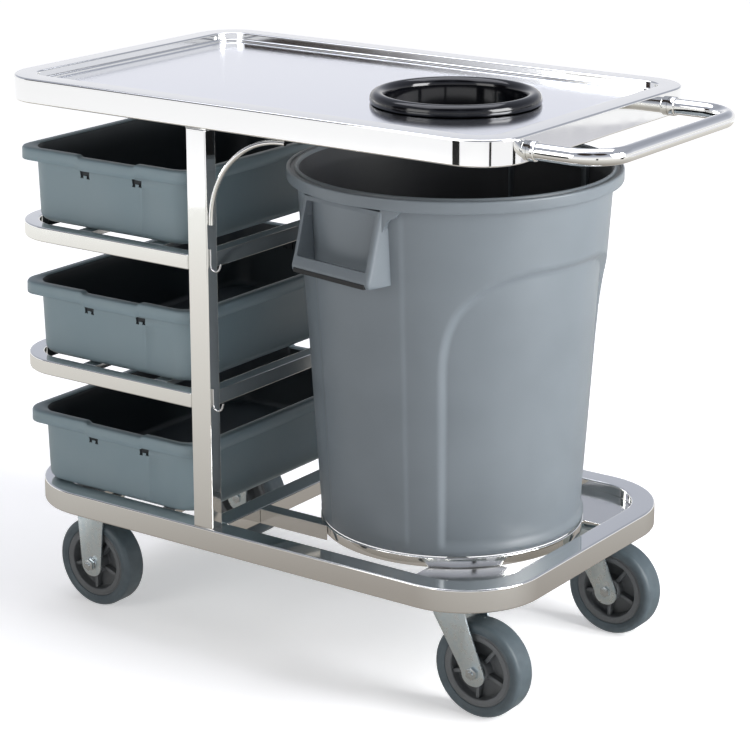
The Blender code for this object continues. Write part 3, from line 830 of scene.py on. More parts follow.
# ---- frame -----------------------------------------------------------------------------------
@dataclass(frozen=True)
class FrameTubes:
    """The two square tube loops, the shelf rails, posts, ties and bars."""

    tube: float = 0.038
    shelf_tube: float = 0.0245
    top_radius: float = 0.075
    base_radius: float = 0.133
    shelf_radius: float = 0.093
    tube_edge: float = 0.0030
    shelf_edge: float = 0.0022
    bar_edge: float = 0.0010
    corner_steps: int = 28
    past_posts: float = 0.3
    weld_height: float = 0.0012
    weld_edge: float = 0.0011
    weld_clear: float = 0.0005

    def build(self) -> None:
        """Builds every straight and bent tube."""
        self.loop("top_frame", self.top_radius)
        self.loop("base_frame", self.base_radius)
        for level in ("upper", "middle"):
            self.rail(f"{level}_shelf_rail")
            self.straight(f"{level}_shelf_tie", self.shelf_edge, Finishes.TUBE)
        for node in ("front_post", "rear_post", "base_tie"):
            self.straight(node, self.tube_edge * 0.8, Finishes.TUBE)
        for level in ("upper", "middle", "base"):
            for number in (1, 2):
                self.straight(f"{level}_rest_bar_{number}", self.bar_edge, Finishes.BAR)
        for side in ("front", "rear"):
            self.refined(f"bin_bar_{side}", self.bar_edge)
            for end in ("left", "right"):
                self.refined(f"{end}_{side}_corner_plate", self.bar_edge * 0.8)
        self.welds()

    def loop(self, node: str, radius: float) -> None:
        """A closed loop of square tube with rounded corners.

        Args:
            node: the CAD node that it stands for.
            radius: outer radius of its corners.
        """
        low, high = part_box(node)
        bm = rounded_ring(low, high, radius, self.tube, self.corner_steps)
        thicken(bm, Vector((0, 0, high.z - low.z)))
        soften(bm, self.tube_edge, 4)
        add_piece(f"{node}_tube", bm, Finishes.TUBE, "root", node, flat_true=True)

    def rail(self, node: str) -> None:
        """A U of shelf tube: a loop cut off square at the posts.

        Args:
            node: the CAD node that it stands for.
        """
        low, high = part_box(node)
        far = Vector((high.x + self.past_posts, high.y, high.z))
        bm = rounded_ring(low, far, self.shelf_radius, self.shelf_tube, self.corner_steps)
        bmesh.ops.bisect_plane(bm, geom=bm.verts[:] + bm.edges[:] + bm.faces[:],
                               plane_co=(high.x, 0, 0), plane_no=(1, 0, 0), clear_outer=True)
        thicken(bm, Vector((0, 0, high.z - low.z)))
        soften(bm, self.shelf_edge, 4)
        add_piece(f"{node}_tube", bm, Finishes.TUBE, "root", node, flat_true=True)

    def straight(self, node: str, edge: float, finish: Finishes) -> None:
        """A straight tube or bar with rounded edges, the size of its CAD node."""
        low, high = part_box(node)
        add_piece(f"{node}_bar", box_mesh(low, high, edge), finish, "root", node, flat_true=True)

    def refined(self, node: str, edge: float) -> None:
        """A merged copy of a flat CAD node with its edges broken.

        Args:
            node: the CAD node.
            edge: width of its broken edges.
        """
        bm = merged_copy(node)
        soften(bm, edge, 2)
        add_piece(f"{node}_plate", bm, Finishes.BAR, "root", node, flat_true=True)

    def welds(self) -> None:
        """Ground fillet welds where the posts meet the two frames."""
        for node in ("front_post", "rear_post"):
            low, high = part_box(node)
            for place, z in (("foot", low.z), ("head", high.z)):
                tall = self.weld_height
                near = Vector((low.x - tall, low.y + self.weld_clear, z - tall))
                far = Vector((high.x + tall, high.y - self.weld_clear, z + tall))
                weld = box_mesh(near, far, self.weld_edge, 3)
                add_piece(f"{node}_{place}_weld", weld, Finishes.BAR, "root")


def merged_copy(node: str) -> bmesh.types.BMesh:
    """A CAD node's mesh with its loose triangles joined and its flats made whole.

    Args:
        node: the CAD node.

    Returns:
        Its mesh, with flat faces made whole.
    """
    bm = bmesh.new()
    bm.from_mesh(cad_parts[node].data)
    bmesh.ops.remove_doubles(bm, verts=bm.verts, dist=1e-6)
    bmesh.ops.dissolve_limit(bm, angle_limit=math.radians(1.0), verts=bm.verts, edges=bm.edges)
    return bm


@dataclass(frozen=True)
class Tray:
    """The satin sheet, the bead that seals it to the rim, and the chute's collar."""

    bead: float = 0.0045
    inner_radius: float = 0.037
    neck_depth: float = 0.030
    ring_width: float = 0.025
    foot: float = 0.004

    def build(self) -> None:
        """Dresses the sheet and builds the bead and the collar."""
        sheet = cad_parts["tray_sheet"]
        sheet.data.materials.clear()
        sheet.data.materials.append(Finishes.SHEET.value.material())
        low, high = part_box("tray_sheet")
        bm = rounded_ring(Vector((low.x, low.y, high.z)), high, self.inner_radius, self.bead, 20)
        thicken(bm, Vector((0, 0, self.bead)))
        middle = (low + high) / 2
        reach = (high.x - middle.x - self.bead, high.y - middle.y - self.bead)
        top = [e for e in bm.edges if all(v.co.z > high.z + self.bead / 2 for v in e.verts)
               and all(self.is_inner(v.co - middle, reach) for v in e.verts) and len(e.link_faces) == 2
               and e.calc_face_angle() > 1.0]
        bmesh.ops.bevel(bm, geom=top, offset=self.bead * 0.9, offset_type="OFFSET", affect="EDGES",
                        segments=5, profile=0.5, material=-1)
        add_piece("tray_bead", bm, Finishes.TUBE, "root")
        self.collar()

    def is_inner(self, place: Vector, reach: tuple[float, float]) -> bool:
        """Says whether a point lies on the bead's inner outline, a rounded rectangle.

        Args:
            place: the point, from the sheet's middle.
            reach: half the size of the outline.

        Returns:
            Whether it is on the outline.
        """
        radius = self.inner_radius - self.bead
        over = (abs(place.x) - (reach[0] - radius), abs(place.y) - (reach[1] - radius))
        if over[0] > 0 and over[1] > 0:
            return math.hypot(*over) < radius + self.bead / 2
        return abs(place.x) < reach[0] + self.bead / 2 and abs(place.y) < reach[1] + self.bead / 2

    def collar(self) -> None:
        """The chute's rolled collar, turned, with a thin neck through the sheet."""
        low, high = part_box("chute_collar")
        centre = (low + high) / 2
        outer = (high.x - low.x) / 2
        base = low.z + self.neck_depth
        inner = outer - self.ring_width
        middle, half = (outer + inner) / 2, (outer - inner) / 2
        height = high.z - base
        profile = [(outer - 0.020, base), (outer - 0.0045, base), (outer - 0.001, base + 0.0015)]
        for x, z in arc((0, 0), 1.0, 0, 180, 20):
            profile.append((middle + half * x, base + self.foot + (height - self.foot) * z ** 0.8))
        profile += [(inner, base - 0.004), (inner + 0.0008, low.z), (inner + 0.0042, low.z),
                    (inner + 0.0050, base - 0.004)]
        bm = turned(profile, 128, Vector((centre.x, centre.y, 0)))
        add_piece("chute_collar_ring", bm, Finishes.COLLAR, "root", "chute_collar")


@dataclass(frozen=True)
class BentRods:
    """Braces, hooks and the push handle."""

    brace_radius: float = 0.004
    brace_bend: float = 0.138
    hook_radius: float = 0.0015
    hook_bend: float = 0.009
    hook_turn: float = 160.0
    hook_tip: float = 0.0085
    handle_radius: float = 0.0125
    handle_bend: float = 0.060
    collar_radius: float = 0.0150
    collar_length: float = 0.011
    collar_round: float = 0.002
    clearance: float = 0.0002

    def build(self) -> None:
        """Builds the rods in turn."""
        for side in ("front", "rear"):
            self.brace(side)
        for level in ("upper", "middle"):
            self.hook(level)
        self.handle()

    def brace(self, side: str) -> None:
        """A quarter-round brace from the post to the top frame, its welded ends closed flat.

        Args:
            side: "front" or "rear".
        """
        low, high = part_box(f"{side}_brace")
        middle = (low.y + high.y) / 2
        start = Vector((low.x + self.brace_radius, middle, low.z))
        rise = high.z - self.brace_radius - self.brace_bend - low.z
        rod = Sweep(start, Vector((0, 0, 1)), self.brace_radius).straight(rise)
        rod.bend(Vector((1, 0, 0)), self.brace_bend, 90, 32).straight(high.x - rod.place.x)
        add_piece(f"{side}_brace_rod", rod.end(), Finishes.TUBE, "root", f"{side}_brace", sharp=60)

    def hook(self, level: str) -> None:
        """A J of wire that hangs on the post's side.

        Args:
            level: the shelf it is above.
        """
        low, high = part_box(f"{level}_hook")
        middle = (low.y + high.y) / 2
        x = low.x + self.hook_radius
        start = Vector((x, middle, high.z))
        drop = high.z - (low.z + self.hook_radius + self.hook_bend)
        rod = Sweep(start, Vector((0, 0, -1)), self.hook_radius, 14).straight(drop)
        rod.bend(Vector((1, 0, 0)), self.hook_bend, self.hook_turn, 20).straight(self.hook_tip)
        add_piece(f"{level}_hook_wire", rod.end(), Finishes.WIRE, "root", f"{level}_hook", sharp=60)

    def handle(self) -> None:
        """The push handle, with a collar where each leg meets the frame."""
        low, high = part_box("push_handle")
        z = (low.z + high.z) / 2
        leg = high.y - self.handle_radius
        start = Vector((low.x, -leg, z))
        straight = high.x - self.handle_radius - self.handle_bend - low.x
        rod = Sweep(start, Vector((1, 0, 0)), self.handle_radius, 36).straight(straight)
        rod.bend(Vector((0, 1, 0)), self.handle_bend, 90, 24).straight(2 * (leg - self.handle_bend))
        rod.bend(Vector((-1, 0, 0)), self.handle_bend, 90, 24).straight(straight)
        add_piece("push_handle_tube", rod.end(), Finishes.TUBE, "root", "push_handle", sharp=60)
        for side, y in (("front", -leg), ("rear", leg)):
            bore = self.handle_radius + self.clearance
            lip = (self.collar_radius - self.collar_round, self.collar_length - self.collar_round)
            outline = [(bore, 0.0), (self.collar_radius, 0.0), *arc(lip, self.collar_round, 0, 90, 5),
                       (bore, self.collar_length)]
            bm = turned(outline, 48, Vector((0, 0, 0)))
            lay = Matrix.Rotation(math.pi / 2, 3, "Y")
            bmesh.ops.rotate(bm, verts=bm.verts, cent=(0, 0, 0), matrix=lay)
            bmesh.ops.translate(bm, verts=bm.verts, vec=(low.x, y, z))
            add_piece(f"handle_collar_{side}", bm, Finishes.TUBE, "root")


@dataclass(frozen=True)
class BinHoop:
    """The flat hoop that the bin stands on, rolled and butt welded."""

    thickness: float = 0.004
    edge_share: float = 0.42

    def build(self) -> None:
        """Turns the hoop with rounded edges."""
        low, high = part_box("bin_hoop")
        centre = (low + high) / 2
        outer = (high.x - low.x) / 2
        inner, edge = outer - self.thickness, self.thickness * self.edge_share
        profile = arc((outer - edge, high.z - edge), edge, 0, 90, 4)
        profile += arc((inner + edge, high.z - edge), edge, 90, 180, 4)
        profile += arc((inner + edge, low.z + edge), edge, 180, 270, 4)
        profile += arc((outer - edge, low.z + edge), edge, 270, 360, 4)
        bm = turned(profile, 160, Vector((centre.x, centre.y, 0)))
        add_piece("bin_hoop_band", bm, Finishes.TUBE, "root", "bin_hoop", sharp=60)


# ---- containers ------------------------------------------------------------------------------
@dataclass(frozen=True)
class BusTub:
    """A bus tub: tapered walls, a turned-down rim with a lowered grip at each short side."""

    level: str
    rim: float = 0.016
    rim_height: float = 0.020
    rim_corner: float = 0.036
    wall_corner: float = 0.042
    taper: float = 0.0045
    wall: float = 0.0028
    floor_round: float = 0.010
    grip_from: float = -0.050
    grip_to: float = 0.074
    grip_drop: float = 0.0036
    grip_ramp: float = 0.006
    window: tuple[float, float] = (0.021, 0.0140)
    notch: float = 0.72
    floor_tighter: float = 0.006
    pocket_edge: float = 0.0010
    pocket_depth: float = 0.0026
    pocket_below_rim: float = 0.0065

    def build(self) -> None:
        """Shapes the tub from its floor outwards and folds its rim down."""
        node = f"{self.level}_tub"
        low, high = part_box(node)
        middle = (low + high) / 2
        reach = Vector(((high.x - low.x) / 2, (high.y - low.y) / 2, 0))
        body = self.rim + self.taper
        floor_reach = body + self.floor_round
        first = Vector((floor_reach, floor_reach, 0))
        corner = self.wall_corner - self.taper
        bm = rounded_plate(middle - reach + first, middle + reach - first,
                           corner - self.floor_tighter, 12)
        bmesh.ops.translate(bm, verts=bm.verts, vec=(0, 0, low.z + self.wall - bm.verts[:][0].co.z))
        ring = bm.edges[:]
        top = high.z
        rows = [(body + self.floor_round * (1 - math.sin(a)), corner,
                 low.z + self.wall + self.floor_round * (1 - math.cos(a)))
                for a in (math.pi / 8 * i for i in range(1, 5))]
        for inset, radius, z in rows + self.rim_rows(top):
            made = bmesh.ops.extrude_edge_only(bm, edges=ring)["geom"]
            ring = edges_between(made)
            self.fit(verts_of(made), middle, reach, inset, radius, z)
        self.lower_grips(bm, middle, reach, top)
        # faces inside the rim take slot 2, the tubs' painted inside shade
        for face in bm.faces:
            spot = face.calc_center_median() - middle
            within = max(abs(spot.x) - reach.x, abs(spot.y) - reach.y) < -self.rim
            if within and spot.z < top - middle.z - 0.004:
                face.material_index = 2
        recessed = self.recesses(bm, middle, reach, top)
        bmesh.ops.recalc_face_normals(bm, faces=bm.faces)
        # the pockets take slot 1, a near-black painted shade
        for face in recessed:
            face.material_index = 1
        piece = add_piece(f"{node}_moulding", bm, Finishes.TUB, node, node, sharp=50)
        # the thickened side takes the finish three slots on, so the painted inside shade stays on the
        # wall's inside only
        for finish in (Finishes.TUB_SHADE, Finishes.TUB_INSIDE, Finishes.TUB, Finishes.TUB_SHADE,
                       Finishes.TUB):
            piece.data.materials.append(finish.value.material())
        shell = piece.modifiers.new("wall", "SOLIDIFY")
        shell.thickness = self.wall
        shell.offset = self.inside_offset(piece)
        shell.material_offset = 3
        shell.material_offset_rim = 3

    def rim_rows(self, top: float) -> list[tuple[float, float, float]]:
        """The outlines from the wall's head over the rim and down its skirt.

        Args:
            top: height of the rim's flat.

        Returns:
            Each outline's inset from the rim's edge, corner radius and height.
        """
        head = self.rim_corner - self.rim
        return [(self.rim + 0.0012, self.wall_corner, top - 0.0060),
                (self.rim + 0.0002, self.wall_corner, top - 0.0022),
                (self.rim - 0.0018, head + 0.012, top - 0.0005),
                (self.rim - 0.0045, head + 0.010, top),
                (0.0040, self.rim_corner - 0.004, top), (0.0014, self.rim_corner, top - 0.0009),
                (0.0002, self.rim_corner, top - 0.0034), (0.0, self.rim_corner, top - self.rim_height)]

    def inside_offset(self, piece: bpy.types.Object) -> float:
        """Which way Solidify grows: under the floor and behind the wall."""
        floor = max(piece.data.polygons, key=lambda polygon: polygon.area)
        return -1.0 if floor.normal.z > 0 else 1.0

    def fit(self, verts: Sequence, middle: Vector, reach: Vector, inset: float, radius: float,
            z: float) -> None:
        """Moves a copied outline to its own size, corner radius and height.

        Args:
            verts: the outline's vertices, still at the last outline's place.
            middle: the tub's centre.
            reach: half its rim's size.
            inset: how far inside the rim the outline runs.
            radius: its corner radius.
            z: its height.
        """
        half = (reach.x - inset, reach.y - inset)
        groups: dict[tuple[int, int], list] = {}
        for vert in verts:
            place = vert.co - middle
            groups.setdefault((1 if place.x > 0 else -1, 1 if place.y > 0 else -1), []).append(vert)
        for (sx, sy), corner in groups.items():
            # from the end on the long side to the end on the short side
            corner.sort(key=lambda vert: sy * (vert.co.y - middle.y))
            for number, vert in enumerate(corner):
                turn = math.pi / 2 * number / (len(corner) - 1)
                vert.co = Vector((middle.x + sx * (half[0] - radius + radius * math.cos(turn)),
                                  middle.y + sy * (half[1] - radius + radius * math.sin(turn)), z))

    def lower_grips(self, bm: bmesh.types.BMesh, middle: Vector, reach: Vector, top: float) -> None:
        """Cuts the rim across at each grip's ends and lowers it between them.

        Args:
            bm: the tub.
            middle: its centre.
            reach: half its rim's size.
            top: height of the rim's flat.
        """
        spots = (self.grip_from, self.grip_from + self.grip_ramp, 0.012,
                 self.grip_to - self.grip_ramp, self.grip_to)
        for x in spots:
            bmesh.ops.bisect_plane(bm, geom=bm.verts[:] + bm.edges[:] + bm.faces[:], dist=1e-7,
                                   plane_co=(middle.x + x, 0, 0), plane_no=(1, 0, 0))
        for vert in bm.verts:
            x = vert.co.x - middle.x
            inside = self.grip_from + self.grip_ramp / 2 < x < self.grip_to - self.grip_ramp / 2
            if inside and abs(vert.co.y) > reach.y - self.rim - 0.001 and vert.co.z > top - 0.03:
                vert.co.z -= self.grip_drop

    def recesses(self, bm: bmesh.types.BMesh, middle: Vector, reach: Vector, top: float) -> list:
        """Presses two small pockets into each short wall, under the ends of its grip.

        Args:
            bm: the tub.
            middle: its centre.
            reach: half its rim's size.
            top: height of the rim's flat.

        Returns:
            The pockets' faces, which are given the painted shade.
        """
        wide, tall = self.window
        high = top - self.rim_height - self.pocket_below_rim
        leg = wide * 0.38
        spots = [self.grip_from + 0.006, self.grip_to - 0.010]
        edges = (-wide / 2, leg - wide / 2, wide / 2 - leg, wide / 2)
        for x in (spot + edge for spot in spots for edge in edges):
            bmesh.ops.bisect_plane(bm, geom=bm.verts[:] + bm.edges[:] + bm.faces[:], dist=1e-7,
                                   plane_co=(middle.x + x, 0, 0), plane_no=(1, 0, 0))
        for z in (high - tall, high - tall * self.notch, high):
            bmesh.ops.bisect_plane(bm, geom=bm.verts[:] + bm.edges[:] + bm.faces[:], dist=1e-7,
                                   plane_co=(0, 0, z), plane_no=(0, 0, 1))
        chosen = []
        for face in bm.faces:
            spot = face.calc_center_median()
            on_wall = reach.y - self.rim - 0.008 < abs(spot.y) < reach.y - self.rim + 0.001
            away = min(abs(spot.x - middle.x - s) for s in spots)
            notch = away < wide / 2 - leg and spot.z < high - tall * self.notch
            if on_wall and high - tall < spot.z < high and away < wide / 2 and not notch:
                chosen.append(face)
        made = bmesh.ops.inset_region(bm, faces=chosen, thickness=self.pocket_edge, use_boundary=True)
        for vert in {vert for face in chosen for vert in face.verts}:
            vert.co.y -= math.copysign(self.pocket_depth, vert.co.y)
        return chosen + made["faces"]


@dataclass(frozen=True)
class WasteBin:
    """The round bin: a tapered moulding with an arched panel on each side, a raised strip under
    each grip, a channel rim and two hooded grips."""

    foot_radius: float = 0.2095
    band_radius: tuple[float, float] = (0.2385, 0.2450)
    band_height: float = 0.676
    wall: float = 0.0060
    rim_height: float = 0.021
    rim_radius: float = 0.261
    panel_azimuth: float = -9.7
    panel_half: float = 51.0
    panel_spring: float = 0.500
    panel_rise: float = 0.176
    panel_power: float = 3.0
    panel_depth: tuple[float, float] = (0.0055, 0.0105)
    panel_edge: float = 0.011
    strip_azimuth: float = -97.0
    strip_half: float = 21.7
    strip_height: float = 0.0016
    strip_edge: float = 0.0045
    grip_azimuth: float = -9.7
    grip_width: float = 0.165
    grip_reach: float = 0.2738
    grip_low: float = 0.660
    grip_bar: float = 0.025
    grip_belly: float = 0.009
    grip_round: float = 0.0055
    grip_wall: float = 0.0042
    grip_top: float = 0.774
    grip_flange: float = 0.0095
    grip_brow: float = 0.0065
    web_radius: float = 0.2572
    steps: int = 450
    rows: int = 96
    inner_rows: int = 56

    def build(self) -> None:
        """Builds the body and its grips."""
        low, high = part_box("waste_bin")
        centre = Vector(((low.x + high.x) / 2, (low.y + high.y) / 2, 0))
        self.body(centre, low.z, high.z)
        for number, side in enumerate(("front", "rear")):
            self.grip(side, centre, math.radians(self.grip_azimuth + 180 * number))

    def outside(self, z: float, foot: float, skirt: float) -> float:
        """Radius of the outside at a height, before its panels.

        Args:
            z: the height.
            foot: height of the bin's foot.
            skirt: height of the rim's lower edge.

        Returns:
            The radius.
        """
        if z < self.band_height:
            part = (z - foot) / (self.band_height - foot)
            return self.foot_radius + part * (self.band_radius[0] - self.foot_radius)
        part = (z - self.band_height) / (skirt - self.band_height)
        return self.band_radius[0] + part * (self.band_radius[1] - self.band_radius[0])

    def body(self, centre: Vector, foot: float, top: float) -> None:
        """Spins the section and then works the panels and strips into its outside.

        Args:
            centre: the bin's axis.
            foot: height of its foot.
            top: height of its rim.
        """
        skirt = top - self.rim_height
        rim = self.rim_radius
        profile = [(0.0, foot + 0.0020), (self.foot_radius - 0.016, foot + 0.0020),
                   (self.foot_radius - 0.012, foot), (self.foot_radius - 0.005, foot),
                   (self.foot_radius - 0.0012, foot + 0.0018)]
        for row in range(self.rows + 1):
            z = foot + 0.006 + (skirt - foot - 0.006) * row / self.rows
            profile.append((self.outside(z, foot, skirt), z))
        # the rim: out under its skirt, up, over, and down into the channel round its top
        profile += [(rim - 0.0022, skirt + 0.0002), (rim - 0.0006, skirt + 0.0008), (rim, skirt + 0.0024)]
        profile += [(rim, top - 0.0062)] + arc((rim - 0.0032, top - 0.0048), 0.0032, 0, 90, 5)
        profile += [(rim - 0.0058, top - 0.0020), (rim - 0.0068, top - 0.0040),
                    (rim - 0.0122, top - 0.0040), (rim - 0.0130, top - 0.0016)]
        profile += arc((rim - 0.0150, top - 0.0018), 0.0018, 30, 170, 4)
        inner_top = self.band_radius[1] - 0.0035
        profile += [(inner_top, top - 0.006), (inner_top - 0.0006, skirt)]
        for row in range(self.inner_rows + 1):
            z = skirt - 0.004 - (skirt - foot - 0.022) * row / self.inner_rows
            profile.append((self.outside(z, foot, skirt) - self.wall, z))
        profile += [(self.foot_radius - 0.014, foot + 0.0068), (self.foot_radius - 0.022, foot + 0.0050),
                    (0.0, foot + 0.0050)]
        bm = turned(profile, self.steps, Vector((0, 0, 0)))
        for vert in bm.verts:
            radius = math.hypot(vert.co.x, vert.co.y)
            shape = self.outside(vert.co.z, foot, skirt)
            depth = next((d for d in (0.0, self.wall) if abs(shape - d - radius) < 0.0005), None)
            if depth is not None and foot + 0.005 < vert.co.z < skirt + 0.0001:
                azimuth = math.degrees(math.atan2(vert.co.y, vert.co.x))
                grown = (radius + self.relief(azimuth, vert.co.z, foot)) / radius
                vert.co.x, vert.co.y = vert.co.x * grown, vert.co.y * grown
        # faces that look inwards take slot 1, the bin's painted inside shade
        for face in bm.faces:
            spot = face.calc_center_median()
            faces_in = face.normal.x * spot.x + face.normal.y * spot.y < 0 or spot.length < 0.2
            if faces_in and foot + 0.003 < spot.z < top - 0.006:
                face.material_index = 1
        bmesh.ops.translate(bm, verts=bm.verts, vec=centre)
        piece = add_piece("waste_bin_moulding", bm, Finishes.BIN, "waste_bin", "waste_bin", sharp=50)
        piece.data.materials.append(Finishes.BIN_INSIDE.value.material())

    def relief(self, azimuth: float, z: float, foot: float) -> float:
        """How far the outside stands in or out at an azimuth in degrees and a height.

        Args:
            azimuth: where round the bin, in degrees.
            z: the height.
            foot: height of the bin's foot.

        Returns:
            Metres outwards.
        """
        panel = strip = 0.0
        for turn in (0.0, 180.0):
            away = abs((azimuth - self.panel_azimuth - turn + 180) % 360 - 180)
            across = away / self.panel_half
            up = max(0.0, (z - self.panel_spring) / self.panel_rise)
            shape = (across ** self.panel_power + up ** self.panel_power) ** (1 / self.panel_power)
            beyond = (shape - 1) * math.radians(self.panel_half) * self.foot_radius
            panel = max(panel, ramp_step(0.5 - beyond / self.panel_edge))
            away = abs((azimuth - self.strip_azimuth - turn + 180) % 360 - 180)
            beyond = math.radians(away - self.strip_half) * self.foot_radius
            strip = max(strip, ramp_step(0.5 - beyond / self.strip_edge))
        part = (z - foot) / (self.band_height - foot)
        depth = self.panel_depth[0] + (self.panel_depth[1] - self.panel_depth[0]) * part
        near_foot = smooth_step((z - foot - 0.010) / 0.012)
        return strip * self.strip_height * near_foot - panel * depth * near_foot

    def grip(self, side: str, centre: Vector, turn: float) -> None:
        """A hood that slopes out from under the rim to a finger bar, open in front and below.

        Args:
            side: "front" or "rear".
            centre: the bin's axis.
            turn: how far round the bin it is, in radians.
        """
        place = Matrix.Translation(centre) @ Matrix.Rotation(turn, 4, "Z")
        half = self.grip_width / 2
        hood = self.wedge(half, 0.0, self.grip_round)
        hood.transform(place)
        piece = add_piece(f"{side}_grip", hood, Finishes.BIN, "waste_bin", sharp=40)
        hollow = self.wedge(half - self.grip_wall, self.grip_wall, 0.003)
        hollow.transform(place)
        carve(piece, hollow)
        window = box_mesh(Vector((-half + self.grip_flange, -0.30, self.grip_low + self.grip_bar)),
                          Vector((half - self.grip_flange, -0.20, self.grip_top - self.grip_brow)), 0.003)
        window.transform(place)
        carve(piece, window)
        for polygon in piece.data.polygons:
            polygon.use_smooth = True
        piece.data.set_sharp_from_angle(angle=math.radians(40))
        edge = piece.modifiers.new("broken_edges", "BEVEL")
        edge.width, edge.segments, edge.limit_method = 0.0008, 2, "ANGLE"
        edge.angle_limit = math.radians(40)
        # a dark strip of painted shade stands in the channel under the finger bar
        self.painted_shade_strip(side, place, half)
        for hand in (-1, 1):
            self.web(f"{side}_grip_web_{'left' if hand < 0 else 'right'}", place, half, hand)

    def wedge(self, half: float, inset: float, edge: float) -> bmesh.types.BMesh:
        """The hood's solid: its side view pushed across, with a round finger bar and side edges.

        Args:
            half: half its width.
            inset: how far inside the hood's surface it lies.
            edge: radius of its front edges.

        Returns:
            A closed bmesh about the bin's axis.
        """
        outer = self.grip_reach - inset
        upper = self.band_radius[1] + 0.001 - inset
        low = self.grip_low - (0.02 if inset else 0.0)
        top = self.grip_top - inset
        side = [(0.215, low), (outer - 0.004, low), (outer, self.grip_low + self.grip_belly),
                (outer - 0.0065, self.grip_low + self.grip_bar + 0.003), (upper, top), (0.215, top)]
        bm = bmesh.new()
        face = bm.faces.new([bm.verts.new((-half, -out, z)) for out, z in side])
        belly = [face.verts[1], face.verts[2]]
        bmesh.ops.bevel(bm, geom=belly, offset=self.grip_belly * 0.45, offset_type="ABSOLUTE",
                        affect="VERTICES", segments=6, profile=0.5, material=-1)
        thicken(bm, Vector((2 * half, 0, 0)))
        front = [e for e in bm.edges if all(v.co.y < -upper + 0.001 for v in e.verts)
                 and abs(e.verts[0].co.x - e.verts[1].co.x) < 1e-6]
        bmesh.ops.bevel(bm, geom=front, offset=edge, offset_type="OFFSET", affect="EDGES", segments=5,
                        profile=0.5, material=-1, clamp_overlap=True)
        return bm

    def painted_shade_strip(self, side: str, place: Matrix, half: float) -> None:
        """The open channel under the finger bar, always in shade, as one dark strip.

        Args:
            side: "front" or "rear".
            place: the grip's place.
            half: half the width of the grip.
        """
        low = Vector((-half + 0.007, -self.grip_reach - 0.0004, self.grip_low + 0.0006))
        high = Vector((half - 0.007, -self.grip_reach + 0.0050, self.grip_low + 0.0076))
        bm = box_mesh(low, high, 0.0006)
        bm.transform(place)
        add_piece(f"{side}_grip_under_strip", bm, Finishes.BIN_SHADE, "waste_bin")

    def web(self, name: str, place: Matrix, half: float, hand: int) -> None:
        """A scalloped skirt between the rim and the hood's side, curved like the rim.

        Args:
            name: its name.
            place: the grip's place.
            half: half the width of the grip.
            hand: -1 for its left side, 1 for its right.
        """
        top, reach, inner = self.grip_top + 0.004, self.web_radius, half - 0.003
        scallop = [(0.0, -0.036), (0.003, -0.030), (0.006, -0.021), (0.011, -0.015), (0.018, -0.012),
                   (0.023, -0.006), (0.026, 0.0)]
        side = [(inner, top), *[(half + x, top + z) for x, z in scallop[::-1]], (inner, top - 0.036)]
        bm = bmesh.new()
        bm.faces.new([bm.verts.new((hand * x, -math.sqrt(reach ** 2 - x ** 2), z)) for x, z in side])
        thicken(bm, Vector((-hand * 0.004, 0.0115, 0)))
        soften(bm, 0.0010, 2)
        bm.transform(place)
        add_piece(name, bm, Finishes.BIN, "waste_bin", sharp=40)


# ---- casters ---------------------------------------------------------------------------------
class Mounting(Enum):
    """How a caster is fixed to the base frame."""

    RIGID = "rigid"
    SWIVEL = "swivel"


